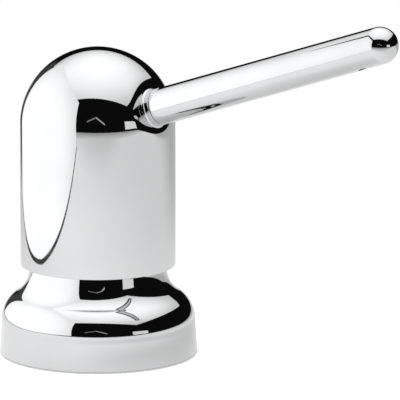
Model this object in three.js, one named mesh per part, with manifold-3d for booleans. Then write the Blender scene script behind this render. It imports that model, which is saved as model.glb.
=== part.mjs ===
// Deck-mounted soap pump dispenser.
//
// A chrome head with a straight spout stands over a flared base on a worktop. Pressing the head
// works a piston pump, which draws soap up a dip tube from a bottle hanging under the worktop.
//
// Units are millimetres and +Z is up. The origin is the centre of the worktop hole, on the
// worktop's upper face, and the spout points along +X.

import * as THREE from 'three';
import { mergeVertices } from 'three/addons/utils/BufferGeometryUtils.js';
import Module from 'manifold-3d';

const wasm = await Module();
wasm.setup();

// ---------------------------------------------------------------- driving dimensions

const GAP = 0.3; // clearance between faces that touch on the real object
const DECK_THICKNESS = 30; // worktop that the base clamps to

// Base: rim that widens towards its foot, rounded shoulder, hollow cove and tapered neck.
const FOOT_RADIUS = 25.4;
const RIM_RADIUS = 25;
const RIM_TOP_Z = 8.6;
const SHOULDER_RADIUS = 8;
const COVE_RADIUS = 7.5;
const CREST_ANGLE = 58; // degrees, where the shoulder turns into the cove
const NECK_TAPER = 8; // degrees, where the cove turns into the neck
const TAPER_TOP_Z = 24; // the neck is straight from here up
const NECK_TOP_Z = 31;
const BASE_WALL = 2.4;

// Head: straight skirt under a half-sphere.
const HEAD_RADIUS = 19.85;
const HEAD_WALL = 1.2;
const SKIRT_Z = 23.2;
const DOME_Z = 59.6;

// Spout: leaves the dome's centre, tilted up.
const SPOUT_RISE = 19; // degrees
const SPOUT_RADIUS = 4.7;
const SPOUT_BORE = 3.7;
const SPOUT_SEAM = 20.6; // distance from the dome's centre to the joint with the boss
const SPOUT_END = 91; // distance to the centre of the round tip
const OUTLET_AT = 85; // distance to the outlet's centre line
const OUTLET_RADIUS = 2.2;

// Pump.
const STROKE = 4.5;
const SHANK_RADIUS = 13.5;
const SHANK_BORE = 11.2;
const SHANK_BOTTOM_Z = -60;
const BARREL_RADIUS = 10;
const BARREL_BORE = 8.4;
const STEM_RADIUS = 4;
const STEM_BORE = 2.2;
const SUCTION_BALL_RADIUS = 2.5;
const SUCTION_BALL_Z = 5.3;
const SUCTION_BALL_LIFT = 1.5;
const DISCHARGE_BALL_RADIUS = 1.6;
const DISCHARGE_BALL_Z = 57.6;
const SPRING_RADIUS = 5.7;
const SPRING_WIRE = 0.5; // wire radius
const SPRING_TURNS = 7;

// Bottle.
const BOTTLE_RADIUS = 32;
const BOTTLE_WALL = 1.4;
const BOTTLE_NECK_RADIUS = 16.3;
const BOTTLE_NECK_TOP_Z = -43.5;
const BOTTLE_BOTTOM_Z = -160;
const DIP_TUBE_RADIUS = 3;
const DIP_TUBE_BORE = 2.1;
const DIP_TUBE_END_Z = BOTTLE_BOTTOM_Z + 5;

const SIDES = 32; // facets round a large turned piece
const MEDIUM_SIDES = 24;
const SMALL_SIDES = 16; // round a stem, a seal or a valve

// ---------------------------------------------------------------- materials

const finish = (color, metalness, roughness, extra = {}) =>
  new THREE.MeshStandardMaterial({ color, metalness, roughness, ...extra });

const chrome = finish(0xe9ebee, 1, 0.04);
const steel = finish(0xb9bcc0, 1, 0.3);
const brass = finish(0xc9a45c, 1, 0.35);
const blackRubber = finish(0x17181a, 0, 0.75);
const whitePlastic = finish(0xe9e8e3, 0, 0.4);
const greyPlastic = finish(0x8f9499, 0, 0.45);
const clearTube = finish(0xdfe4e6, 0, 0.3, { transparent: true, opacity: 0.7 });
const milkyPlastic = finish(0xeef0ee, 0, 0.45, { transparent: true, opacity: 0.8 });

// ---------------------------------------------------------------- shape helpers

const radians = THREE.MathUtils.degToRad;
const at = (radius, z) => new THREE.Vector2(radius, z);

// Points along an arc about (radius, z), from one angle to another in degrees.
function arc(radius, z, size, from, to, steps) {
  return Array.from({ length: steps + 1 }, (_, i) => {
    const angle = radians(from + ((to - from) * i) / steps);
    return at(radius + size * Math.cos(angle), z + size * Math.sin(angle));
  });
}

// Merges shared corners, so that the surface is closed, and turns its faces outwards.
function closed(geometry) {
  const bare = geometry.clone();
  bare.deleteAttribute('normal');
  bare.deleteAttribute('uv');
  const merged = mergeVertices(bare, 1e-4);
  const corner = merged.attributes.position;
  const index = Array.from(merged.index.array);
  const [a, b, c] = [new THREE.Vector3(), new THREE.Vector3(), new THREE.Vector3()];
  const kept = [];
  let volume = 0;
  for (let i = 0; i < index.length; i += 3) {
    const [p, q, r] = index.slice(i, i + 3);
    if (p === q || q === r || r === p) continue;
    kept.push([p, q, r]);
    a.fromBufferAttribute(corner, p);
    b.fromBufferAttribute(corner, q);
    c.fromBufferAttribute(corner, r);
    volume += a.dot(b.cross(c));
  }
  merged.setIndex((volume < 0 ? kept.map(([p, q, r]) => [p, r, q]) : kept).flat());
  return merged;
}

// Solid of revolution about Z from (radius, z) points that start and end on the axis.
function turned(profile, sides = SIDES) {
  return closed(new THREE.LatheGeometry(profile, sides).rotateX(Math.PI / 2));
}

// Solid of revolution about Z from an outline that closes on itself.
const turnedRing = (outline, sides = SIDES) => turned([...outline, outline[0].clone()], sides);

// Plain ring or tube between two heights.
function tube(inner, outer, low, high, sides = SMALL_SIDES) {
  return turnedRing([at(inner, low), at(outer, low), at(outer, high), at(inner, high)], sides);
}

// Solid round bar between two heights.
function bar(radius, low, high, sides = SMALL_SIDES) {
  return turned([at(0, low), at(radius, low), at(radius, high), at(0, high)], sides);
}

// Ring of round section.
function ringSeal(radius, section, sides = SMALL_SIDES) {
  return closed(new THREE.TorusGeometry(radius, section, 6, sides));
}

const box = (x, y, z) => closed(new THREE.BoxGeometry(x, y, z));
const ball = (radius) => closed(new THREE.SphereGeometry(radius, 12, 8));

function toSolid(geometry) {
  return new wasm.Manifold(
    new wasm.Mesh({
      numProp: 3,
      vertProperties: new Float32Array(geometry.attributes.position.array),
      triVerts: new Uint32Array(geometry.index.array),
    }),
  );
}

function toGeometry(solid) {
  const mesh = solid.getMesh();
  const geometry = new THREE.BufferGeometry();
  geometry.setAttribute('position', new THREE.BufferAttribute(mesh.vertProperties, 3));
  geometry.setIndex(new THREE.BufferAttribute(mesh.triVerts, 1));
  return geometry;
}

const join = (...pieces) => toGeometry(pieces.map(toSolid).reduce((sum, next) => sum.add(next)));

const cut = (piece, ...tools) =>
  toGeometry(tools.map(toSolid).reduce((left, tool) => left.subtract(tool), toSolid(piece)));

const clip = (piece, limit) => toGeometry(toSolid(piece).intersect(toSolid(limit)));

// Turns a piece made along Z so that it lies along the spout, from the dome's centre.
function alongSpout(geometry) {
  return geometry.rotateY(Math.PI / 2 - radians(SPOUT_RISE)).translate(0, 0, DOME_Z);
}

function part(name, geometry, material, z = 0) {
  const mesh = new THREE.Mesh(geometry, material);
  mesh.name = name;
  mesh.position.z = z;
  return mesh;
}

function assembly(...members) {
  return new THREE.Group().add(...members);
}

// ---------------------------------------------------------------- base, clamped to the worktop

const crest = arc(RIM_RADIUS - SHOULDER_RADIUS, RIM_TOP_Z, SHOULDER_RADIUS, 0, CREST_ANGLE, 1)[1];
const coveCentre = at(
  crest.x + COVE_RADIUS * Math.cos(radians(CREST_ANGLE)),
  crest.y + COVE_RADIUS * Math.sin(radians(CREST_ANGLE)),
);
const coveTop = arc(coveCentre.x, coveCentre.y, COVE_RADIUS, 180, 180 + NECK_TAPER, 1)[1];
const NECK_RADIUS = coveTop.x - (TAPER_TOP_Z - coveTop.y) * Math.tan(radians(NECK_TAPER));
const LEDGE_Z = NECK_TOP_Z - 3; // carries the shank's flange
const FLANGE_SEAT_RADIUS = 15.9;

// Turned and cored from below, with a seat for the gasket under the rim and a ledge in the neck.
function baseEscutcheon() {
  const rimBottom = GAP;
  const gasketSeatTop = 2.4;
  const gasketSeatRadius = RIM_RADIUS - 2.2;
  const coreRadius = RIM_RADIUS - 4.2;
  const shankHole = SHANK_RADIUS + 0.4;
  const ledgeUnderside = LEDGE_Z - 3;
  const edge = 0.4;
  return turnedRing([
    at(gasketSeatRadius, rimBottom),
    at(FOOT_RADIUS - edge, rimBottom),
    at(FOOT_RADIUS, rimBottom + edge),
    ...arc(RIM_RADIUS - SHOULDER_RADIUS, RIM_TOP_Z, SHOULDER_RADIUS, 0, CREST_ANGLE, 6),
    ...arc(coveCentre.x, coveCentre.y, COVE_RADIUS, 180 + CREST_ANGLE, 180 + NECK_TAPER, 7).slice(1),
    at(NECK_RADIUS, TAPER_TOP_Z),
    at(NECK_RADIUS, NECK_TOP_Z - edge),
    at(NECK_RADIUS - edge, NECK_TOP_Z),
    at(FLANGE_SEAT_RADIUS, NECK_TOP_Z),
    at(FLANGE_SEAT_RADIUS, LEDGE_Z),
    at(shankHole, LEDGE_Z),
    at(shankHole, ledgeUnderside),
    at(NECK_RADIUS - BASE_WALL, ledgeUnderside),
    at(NECK_RADIUS - BASE_WALL + 0.6, coveCentre.y - 6),
    at(coreRadius - 1.2, RIM_TOP_Z + 2.5),
    at(coreRadius, RIM_TOP_Z - 2),
    at(coreRadius, gasketSeatTop),
    at(gasketSeatRadius, gasketSeatTop),
  ]);
}

// Lies on the worktop; its underside is the face that the dispenser stands on.
const baseGasket = () => tube(SHANK_RADIUS + 0.5, RIM_RADIUS - 2.5, 0, 2.1, SIDES);

// Flanged tube that drops through the base and the worktop hole.
function threadedShank() {
  const flangeLow = LEDGE_Z + GAP;
  const flangeHigh = flangeLow + 2.3;
  const flangeRadius = FLANGE_SEAT_RADIUS - 0.4;
  const chamfer = 0.8;
  return turnedRing([
    at(SHANK_BORE, SHANK_BOTTOM_Z),
    at(SHANK_RADIUS - chamfer, SHANK_BOTTOM_Z),
    at(SHANK_RADIUS, SHANK_BOTTOM_Z + chamfer),
    at(SHANK_RADIUS, flangeLow),
    at(flangeRadius, flangeLow),
    at(flangeRadius, flangeHigh),
    at(SHANK_BORE, flangeHigh),
  ]);
}

const WASHER_BORE = SHANK_RADIUS + 0.4;
const RUBBER_WASHER_RADIUS = 21;
const RUBBER_WASHER_THICKNESS = 2;
const RUBBER_WASHER_BOTTOM_Z = -DECK_THICKNESS - RUBBER_WASHER_THICKNESS;
const STEEL_WASHER_RADIUS = 20.5;
const STEEL_WASHER_THICKNESS = 1.5;
const STEEL_WASHER_BOTTOM_Z = RUBBER_WASHER_BOTTOM_Z - GAP - STEEL_WASHER_THICKNESS;
const NUT_TOP_Z = STEEL_WASHER_BOTTOM_Z - GAP;

const rubberWasher = () => tube(WASHER_BORE, RUBBER_WASHER_RADIUS, 0, RUBBER_WASHER_THICKNESS, SIDES);
const steelWasher = () => tube(WASHER_BORE, STEEL_WASHER_RADIUS, 0, STEEL_WASHER_THICKNESS, SIDES);

// Hexagonal nut below z = 0, with a plain bore in place of its thread.
function mountingNut() {
  const height = 8;
  const acrossFlats = 38;
  const cornerRadius = acrossFlats / 2 / Math.cos(radians(30));
  const blank = new THREE.CylinderGeometry(cornerRadius, cornerRadius, height, 6)
    .rotateX(Math.PI / 2)
    .translate(0, 0, -height / 2);
  return cut(closed(blank), bar(SHANK_RADIUS + GAP, -height - 1, 1, SIDES));
}

// Blow-moulded bottle whose neck screws onto the shank's lower end.
function reservoirBottle() {
  const neckInner = SHANK_RADIUS + GAP;
  const shoulderZ = -60.5;
  const shoulder = 14;
  const outerShoulder = shoulder + 0.4;
  const heel = 6;
  const innerHeel = heel - BOTTLE_WALL;
  const inner = BOTTLE_RADIUS - BOTTLE_WALL;
  const wideZ = shoulderZ - shoulder;
  const floorZ = BOTTLE_BOTTOM_Z + BOTTLE_WALL;
  return turned([
    at(0, floorZ),
    ...arc(inner - innerHeel, floorZ + innerHeel, innerHeel, -90, 0, 3),
    ...arc(inner - shoulder, wideZ, shoulder, 0, 70, 5),
    at(neckInner, shoulderZ - 0.2),
    at(neckInner, BOTTLE_NECK_TOP_Z),
    at(BOTTLE_NECK_RADIUS, BOTTLE_NECK_TOP_Z),
    at(BOTTLE_NECK_RADIUS, shoulderZ + 1.6),
    ...arc(BOTTLE_RADIUS - outerShoulder, wideZ, outerShoulder, 75, 0, 5),
    ...arc(BOTTLE_RADIUS - heel, BOTTLE_BOTTOM_Z + heel, heel, 0, -90, 4),
    at(0, BOTTLE_BOTTOM_Z),
  ]);
}

const base = assembly(
  part('base_escutcheon', baseEscutcheon(), chrome),
  part('base_gasket', baseGasket(), blackRubber),
  part('threaded_shank', threadedShank(), brass),
  part('deck_rubber_washer', rubberWasher(), blackRubber, RUBBER_WASHER_BOTTOM_Z),
  part('deck_steel_washer', steelWasher(), steel, STEEL_WASHER_BOTTOM_Z),
  part('mounting_nut', mountingNut(), brass, NUT_TOP_Z),
  part('reservoir_bottle', reservoirBottle(), milkyPlastic),
);

// ---------------------------------------------------------------- pump, lifted out to refill

const FLANGE_SEAL_Z = NECK_TOP_Z - 0.1;
const FLANGE_SEAL_THICKNESS = 1;
const HOUSING_FLANGE_Z = FLANGE_SEAL_Z + FLANGE_SEAL_THICKNESS + GAP;
const HOUSING_FLANGE_TOP_Z = HOUSING_FLANGE_Z + 2.5;
const HOUSING_TOP_Z = HOUSING_FLANGE_TOP_Z + 4.8;
const CAGE_Z = 8.3;
const CAGE_TOP_Z = CAGE_Z + 2.5;
const SPRING_FOOT_Z = CAGE_TOP_Z + GAP;
const SOCKET_RADIUS = 5.2;
const SOCKET_BOTTOM_Z = -12;
const SEAT_TOP_Z = 4.5;
const THROAT_RADIUS = 1.6;
const THROAT_BOTTOM_Z = 1;
const O_RING_Z = 27.2;

// Barrel with a flange that rests on the shank, a ball seat and a socket for the dip tube.
function pumpHousing() {
  const flangeRadius = 16.6;
  const collarThreadRadius = BARREL_RADIUS + 0.6;
  const landRadius = SHANK_BORE - GAP;
  const landBottomZ = O_RING_Z - 1.6;
  const halfGroove = 0.7;
  const ballRoom = SUCTION_BALL_RADIUS + 0.6;
  const socketBore = DIP_TUBE_RADIUS + GAP;
  const seatDepth = ballRoom - THROAT_RADIUS;
  return turnedRing(
    [
      at(socketBore, SOCKET_BOTTOM_Z),
      at(SOCKET_RADIUS, SOCKET_BOTTOM_Z),
      at(SOCKET_RADIUS, THROAT_BOTTOM_Z - 0.5),
      at(BARREL_RADIUS, SEAT_TOP_Z),
      at(BARREL_RADIUS, landBottomZ - 0.3),
      at(landRadius, landBottomZ),
      at(landRadius, O_RING_Z - halfGroove),
      at(BARREL_RADIUS, O_RING_Z - halfGroove),
      at(BARREL_RADIUS, O_RING_Z + halfGroove),
      at(landRadius, O_RING_Z + halfGroove),
      at(landRadius, HOUSING_FLANGE_Z),
      at(flangeRadius, HOUSING_FLANGE_Z),
      at(flangeRadius, HOUSING_FLANGE_TOP_Z),
      at(collarThreadRadius, HOUSING_FLANGE_TOP_Z),
      at(collarThreadRadius, HOUSING_TOP_Z),
      at(BARREL_BORE, HOUSING_TOP_Z),
      at(BARREL_BORE, CAGE_Z - GAP),
      at(ballRoom, CAGE_Z - GAP),
      at(ballRoom, SEAT_TOP_Z),
      at(THROAT_RADIUS, SEAT_TOP_Z - seatDepth),
      at(THROAT_RADIUS, THROAT_BOTTOM_Z),
      at(socketBore, THROAT_BOTTOM_Z),
    ],
    MEDIUM_SIDES,
  );
}

// Cap that screws onto the housing, guides the stem and stops the piston at the top of its stroke.
const COLLAR_Z = HOUSING_FLANGE_TOP_Z + GAP;
const COLLAR_PLATE_Z = HOUSING_TOP_Z + GAP;
const COLLAR_TOP_Z = COLLAR_PLATE_Z + 2.7;
const PISTON_STOP_Z = HOUSING_TOP_Z - 2;
const WIPER_RADIUS = 5.6;
const WIPER_SEAT_Z = COLLAR_TOP_Z - 1.5;

function pumpCollar() {
  const threadBore = BARREL_RADIUS + 0.9;
  const plugRadius = BARREL_BORE - GAP;
  const stemHole = STEM_RADIUS + 0.25;
  const wiperSeat = WIPER_RADIUS + GAP;
  const collarRadius = 14;
  const chamfer = 0.8;
  return turnedRing(
    [
      at(threadBore, COLLAR_Z),
      at(collarRadius, COLLAR_Z),
      at(collarRadius, COLLAR_TOP_Z - chamfer),
      at(collarRadius - chamfer, COLLAR_TOP_Z),
      at(wiperSeat, COLLAR_TOP_Z),
      at(wiperSeat, WIPER_SEAT_Z),
      at(stemHole, WIPER_SEAT_Z),
      at(stemHole, PISTON_STOP_Z),
      at(plugRadius, PISTON_STOP_Z),
      at(plugRadius, COLLAR_PLATE_Z),
      at(threadBore, COLLAR_PLATE_Z),
    ],
    MEDIUM_SIDES,
  );
}

// Lip ring in the collar's top that keeps splashes off the stem.
const stemWiper = () => tube(STEM_RADIUS + 0.1, WIPER_RADIUS, 0, 1.1);

// Holds the suction ball down and centres the spring, with four slots for the soap.
function ballCage() {
  const pocketRadius = SUCTION_BALL_RADIUS + 0.4;
  const pocketTop = SUCTION_BALL_Z + SUCTION_BALL_RADIUS + SUCTION_BALL_LIFT + GAP;
  const discRadius = BARREL_BORE - GAP;
  const bossRadius = SPRING_RADIUS - SPRING_WIRE - 0.4;
  const bossTop = CAGE_TOP_Z + 2.7;
  const blank = turned([
    at(0, CAGE_Z),
    at(discRadius, CAGE_Z),
    at(discRadius, CAGE_TOP_Z),
    at(bossRadius, CAGE_TOP_Z),
    at(bossRadius - 0.5, bossTop),
    at(0, bossTop),
  ], SMALL_SIDES);
  const [slotLength, slotWidth, slotDepth] = [8.2, 1.7, 12];
  const slot = () => box(slotLength, slotWidth, slotDepth);
  const slots = [0, Math.PI / 2].map((turn) => slot().rotateZ(turn).translate(0, 0, CAGE_Z));
  return cut(blank, bar(pocketRadius, CAGE_Z - 1, pocketTop), ...slots);
}

function barrelRing() {
  const section = 0.45;
  return ringSeal(BARREL_RADIUS + GAP / 2 + section, section, SIDES);
}

const dipTube = () => tube(DIP_TUBE_BORE, DIP_TUBE_RADIUS, DIP_TUBE_END_Z, THROAT_BOTTOM_Z - GAP);

function flangeSeal() {
  const outerRadius = 15.6;
  return tube(SHANK_BORE + 0.6, outerRadius, 0, FLANGE_SEAL_THICKNESS, SIDES);
}

// ---------------------------------------------------------------- plunger, pressed by the head

const PISTON_TOP_Z = PISTON_STOP_Z - GAP;
const PISTON_Z = PISTON_TOP_Z - 4.7;
const STEM_FLANGE_TOP_Z = PISTON_Z - GAP;
const STEM_FLANGE_Z = STEM_FLANGE_TOP_Z - 1.3;
const SPRING_HEAD_Z = STEM_FLANGE_Z - GAP;
const STEM_SHOULDER_RADIUS = 6;
const SHOULDER_Z = COLLAR_TOP_Z + STROKE + 0.5;
const SHOULDER_TOP_Z = SHOULDER_Z + 1.4;
const SWIVEL_WASHER_Z = SHOULDER_TOP_Z + GAP;
const SWIVEL_WASHER_THICKNESS = 0.8;
const HUB_Z = SWIVEL_WASHER_Z + SWIVEL_WASHER_THICKNESS + GAP;
const STEM_TOP_Z = 55;

// Compression spring with its wire carried along a helix.
class Helix extends THREE.Curve {
  getPoint(t, target = new THREE.Vector3()) {
    const low = SPRING_FOOT_Z + SPRING_WIRE;
    const high = SPRING_HEAD_Z - SPRING_WIRE;
    const angle = 2 * Math.PI * SPRING_TURNS * t;
    const z = low + (high - low) * t;
    return target.set(SPRING_RADIUS * Math.cos(angle), SPRING_RADIUS * Math.sin(angle), z);
  }
}

function returnSpring() {
  const section = new THREE.Shape();
  section.absarc(0, 0, SPRING_WIRE, 0, 2 * Math.PI);
  return closed(
    new THREE.ExtrudeGeometry(section, {
      extrudePath: new Helix(),
      steps: SPRING_TURNS * 12,
      curveSegments: 3,
    }),
  );
}

const cartridge = assembly(
  part('pump_housing', pumpHousing(), whitePlastic),
  part('flange_seal', flangeSeal(), blackRubber, FLANGE_SEAL_Z),
  part('barrel_o_ring', barrelRing(), blackRubber, O_RING_Z),
  part('pump_collar', pumpCollar(), greyPlastic),
  part('stem_wiper', stemWiper(), blackRubber, WIPER_SEAT_Z + GAP),
  part('ball_cage', ballCage(), whitePlastic),
  part('dip_tube', dipTube(), clearTube),
  part('return_spring', returnSpring(), steel),
  part('suction_ball', ball(SUCTION_BALL_RADIUS), steel, SUCTION_BALL_Z),
);

// Hollow stem with a flange under the piston and a shoulder that carries the head.
function pumpStem() {
  const flangeRadius = SPRING_RADIUS + 0.9;
  const footZ = STEM_FLANGE_Z - 1.6;
  return turnedRing(
    [
      at(STEM_BORE, footZ),
      at(STEM_RADIUS, footZ),
      at(STEM_RADIUS, STEM_FLANGE_Z),
      at(flangeRadius, STEM_FLANGE_Z),
      at(flangeRadius, STEM_FLANGE_TOP_Z),
      at(STEM_RADIUS, STEM_FLANGE_TOP_Z),
      at(STEM_RADIUS, SHOULDER_Z),
      at(STEM_SHOULDER_RADIUS, SHOULDER_Z),
      at(STEM_SHOULDER_RADIUS, SHOULDER_TOP_Z),
      at(STEM_RADIUS, SHOULDER_TOP_Z),
      at(STEM_RADIUS, STEM_TOP_Z),
      at(STEM_BORE, STEM_TOP_Z),
    ],
    SMALL_SIDES,
  );
}

// Spool that carries the lip seal in its groove.
const SEAL_GROOVE = 2.9; // height of the groove
const PISTON_RADIUS = BARREL_BORE - 0.5;
const GROOVE_RADIUS = 6.6;
const PISTON_HEIGHT = PISTON_TOP_Z - PISTON_Z;
const PISTON_LAND = (PISTON_HEIGHT - SEAL_GROOVE) / 2;

function piston() {
  const bore = STEM_RADIUS + GAP;
  return turnedRing([
    at(bore, 0),
    at(PISTON_RADIUS, 0),
    at(PISTON_RADIUS, PISTON_LAND),
    at(GROOVE_RADIUS, PISTON_LAND),
    at(GROOVE_RADIUS, PISTON_HEIGHT - PISTON_LAND),
    at(PISTON_RADIUS, PISTON_HEIGHT - PISTON_LAND),
    at(PISTON_RADIUS, PISTON_HEIGHT),
    at(bore, PISTON_HEIGHT),
  ], SMALL_SIDES);
}

// Lip seal: thin edges touch the barrel, with a waist between them.
function pistonSeal() {
  const height = SEAL_GROOVE - 2 * GAP;
  const bore = GROOVE_RADIUS + GAP;
  const lipRadius = BARREL_BORE - 0.1;
  return turnedRing([
    at(bore, 0),
    at(lipRadius, 0),
    at(PISTON_RADIUS, height / 2),
    at(lipRadius, height),
    at(bore, height),
  ], SMALL_SIDES);
}

// Discharge valve on top of the stem: a coned cup with a spigot down the stem's bore.
const VALVE_Z = STEM_TOP_Z + GAP;
const VALVE_TOP_Z = VALVE_Z + 3.7;

function dischargeSeat() {
  const seatBore = 0.9;
  const cupRadius = 2.4;
  const coneZ = VALVE_Z + 0.6;
  const spigotZ = VALVE_Z - 3;
  const spigotRadius = STEM_BORE - GAP;
  return turnedRing([
    at(seatBore, spigotZ),
    at(spigotRadius, spigotZ),
    at(spigotRadius, VALVE_Z),
    at(STEM_RADIUS, VALVE_Z),
    at(STEM_RADIUS, VALVE_TOP_Z),
    at(cupRadius, VALVE_TOP_Z),
    at(cupRadius, coneZ + cupRadius - seatBore),
    at(seatBore, coneZ),
  ], SMALL_SIDES);
}

// Ring with a crossbar that keeps the discharge ball in its cup.
const DISCHARGE_CAGE_Z = VALVE_TOP_Z + GAP;

function dischargeCage() {
  const bore = 2.7;
  const height = 1.9;
  const [barLength, barWidth, barDepth] = [7, 1.2, 1];
  const crossbar = box(barLength, barWidth, barDepth).translate(0, 0, height - barDepth / 2);
  return join(tube(bore, STEM_RADIUS, 0, height), clip(crossbar, bar(STEM_RADIUS - 0.6, 0, height + 1)));
}

function swivelWasher() {
  return tube(STEM_RADIUS + GAP, STEM_SHOULDER_RADIUS, 0, SWIVEL_WASHER_THICKNESS);
}

const plunger = assembly(
  part('pump_stem', pumpStem(), whitePlastic),
  part('piston', piston(), greyPlastic, PISTON_Z),
  part('piston_seal', pistonSeal(), blackRubber, PISTON_Z + PISTON_LAND + GAP),
  part('discharge_seat', dischargeSeat(), greyPlastic),
  part('discharge_cage', dischargeCage(), whitePlastic, DISCHARGE_CAGE_Z),
  part('swivel_washer', swivelWasher(), greyPlastic, SWIVEL_WASHER_Z),
  part('discharge_ball', ball(DISCHARGE_BALL_RADIUS), steel, DISCHARGE_BALL_Z),
);

// ---------------------------------------------------------------- head, turns on the stem

const BOSS_END = SPOUT_SEAM - 0.2;
const TUBE_START = SPOUT_SEAM + 0.2;
const SPIGOT_RADIUS = 4;
const SPIGOT_BORE = 2.9;
const SPIGOT_START = 8.6;
const FEED_RADIUS = 2.5;
const FEED_BORE = 1.75;
const INNER_RADIUS = HEAD_RADIUS - HEAD_WALL;
const GLAND_RADIUS = 5.9; // washer and ring that seal the hub on the stem
const GLAND_THICKNESS = 0.7;
const HUB_RING_SECTION = (GLAND_RADIUS - STEM_RADIUS - GAP) / 2;

// Thin shell with a short flared boss that the spout screws through.
function headShell() {
  const lip = 0.25;
  const chamferHeight = 2.3;
  const dome = turned([
    at(0, DOME_Z + INNER_RADIUS),
    ...arc(0, DOME_Z, INNER_RADIUS, 90, 0, 7).slice(1),
    at(INNER_RADIUS, SKIRT_Z + chamferHeight),
    at(HEAD_RADIUS - lip, SKIRT_Z),
    at(HEAD_RADIUS, SKIRT_Z + 0.2),
    ...arc(0, DOME_Z, HEAD_RADIUS, 0, 90, 9),
  ], SIDES);
  const bossRoot = INNER_RADIUS - 1.2;
  const flareStart = 18.8; // where the flare leaves the dome
  const flareWidth = 1.5;
  const flare = arc(SPOUT_RADIUS + flareWidth, BOSS_END, flareWidth, 240, 180, 3);
  const boss = turned([
    at(0, bossRoot),
    at(SPOUT_RADIUS + flareWidth, bossRoot),
    at(SPOUT_RADIUS + flareWidth, flareStart),
    ...flare,
    at(0, BOSS_END),
  ], MEDIUM_SIDES);
  const spigotHole = bar(SPIGOT_RADIUS + GAP, bossRoot - 7, TUBE_START + 4);
  return cut(join(dome, alongSpout(boss)), alongSpout(spigotHole));
}

// Moulded block inside the dome: it sits on the stem, takes the spout and leads the soap to it.
function headHub() {
  const reach = INNER_RADIUS - 0.4; // keeps clear of the dome's inner face
  const bodyRadius = 9;
  const socketRadius = 7;
  const socketEnd = 17;
  const ductRadius = 0.9;
  const rib = () => box(2 * reach, 2, 12);
  const ribs = [30, 90, 150].map((turn) => rib().rotateZ(radians(turn)).translate(0, 0, HUB_Z + 9));
  const limit = turned([at(0, HUB_Z), at(reach, HUB_Z), ...arc(0, DOME_Z, reach, 0, 90, 6)], MEDIUM_SIDES);
  const body = bar(bodyRadius, HUB_Z, DOME_Z + bodyRadius);
  const spoutSocket = alongSpout(bar(socketRadius, 0, socketEnd));
  const blank = clip(join(body, spoutSocket, ...ribs), limit);
  const hollow = cut(
    blank,
    bar(STEM_RADIUS + 0.35, HUB_Z - 1, DOME_Z + 3),
    bar(GLAND_RADIUS + GAP, HUB_Z - 1, HUB_Z + 3),
    alongSpout(bar(SPIGOT_RADIUS + GAP, SPIGOT_START - GAP, INNER_RADIUS)),
  );
  const barb = alongSpout(bar(FEED_BORE - GAP, SPIGOT_START - 2, SPIGOT_START + 4));
  return cut(join(hollow, barb), alongSpout(bar(ductRadius, 3, INNER_RADIUS)));
}

// The outlet points down, square to the spout: on the spout's own axes that is along +X.
const downwards = (geometry) => geometry.rotateY(Math.PI / 2).translate(0, 0, OUTLET_AT);

// One tube, closed by a round tip, with a thinner threaded end that passes through the boss.
function spoutTube() {
  const edge = 0.4;
  const boreStart = TUBE_START + 3;
  const blank = turned([
    at(0, SPOUT_END + SPOUT_BORE),
    ...arc(0, SPOUT_END, SPOUT_BORE, 90, 0, 4).slice(1),
    at(SPOUT_BORE, boreStart),
    at(SPIGOT_BORE, boreStart),
    at(SPIGOT_BORE, SPIGOT_START),
    at(SPIGOT_RADIUS, SPIGOT_START),
    at(SPIGOT_RADIUS, TUBE_START),
    at(SPOUT_RADIUS - edge, TUBE_START),
    at(SPOUT_RADIUS, TUBE_START + edge),
    ...arc(0, SPOUT_END, SPOUT_RADIUS, 0, 90, 6),
  ], MEDIUM_SIDES);
  return cut(blank, downwards(bar(OUTLET_RADIUS + GAP, 1, 2 * SPOUT_RADIUS)));
}

// Soft elbow inside the tip, whose lip lies flush in the hole on the underside.
const ELBOW_START = OUTLET_AT - 4;

function outletNozzle() {
  const channelRadius = 1.6;
  const dropRadius = 1.3;
  const body = bar(SPOUT_BORE - 0.4, ELBOW_START, OUTLET_AT + 3.6);
  const lip = downwards(bar(OUTLET_RADIUS, 1, SPOUT_RADIUS - 0.1));
  const drop = downwards(bar(dropRadius, 0, 2 * SPOUT_RADIUS));
  return cut(join(body, lip), bar(channelRadius, ELBOW_START - 1, OUTLET_AT), drop);
}

const soapFeedTube = () => tube(FEED_BORE, FEED_RADIUS, SPIGOT_START + GAP, ELBOW_START - GAP);

const spout = assembly(
  part('spout_tube', spoutTube(), chrome),
  part('soap_feed_tube', soapFeedTube(), clearTube),
  part('outlet_nozzle', outletNozzle(), blackRubber),
);
spout.position.z = DOME_Z;
spout.rotation.y = Math.PI / 2 - radians(SPOUT_RISE);

const hubRing = () => ringSeal(GLAND_RADIUS - HUB_RING_SECTION, HUB_RING_SECTION);
const glandWasher = () => tube(STEM_RADIUS + GAP, GLAND_RADIUS, 0, GLAND_THICKNESS);

const head = assembly(
  part('head_shell', headShell(), chrome),
  part('head_hub', headHub(), whitePlastic),
  part('hub_o_ring', hubRing(), blackRubber, HUB_Z + GLAND_THICKNESS + GAP + HUB_RING_SECTION),
  part('gland_washer', glandWasher(), steel, HUB_Z),
  spout,
);

// ---------------------------------------------------------------- whole dispenser

const dispenser = assembly(base, cartridge, plunger, head);
dispenser.name = 'soap_dispenser';

export default dispenser;
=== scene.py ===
"""Soap pump dispenser for a worktop: fine meshes, finishes, studio and camera.

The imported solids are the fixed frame. Each sub-assembly below builds the fine mesh that stands for
a solid, from sizes read from that solid's box, and gives it a finish. Lengths are in metres.
"""

import logging
import math
from dataclasses import dataclass, field
from enum import Enum
from typing import Callable, Optional, Sequence, Union

import bmesh
import bpy
import numpy as np
from mathutils import Matrix, Vector


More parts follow.
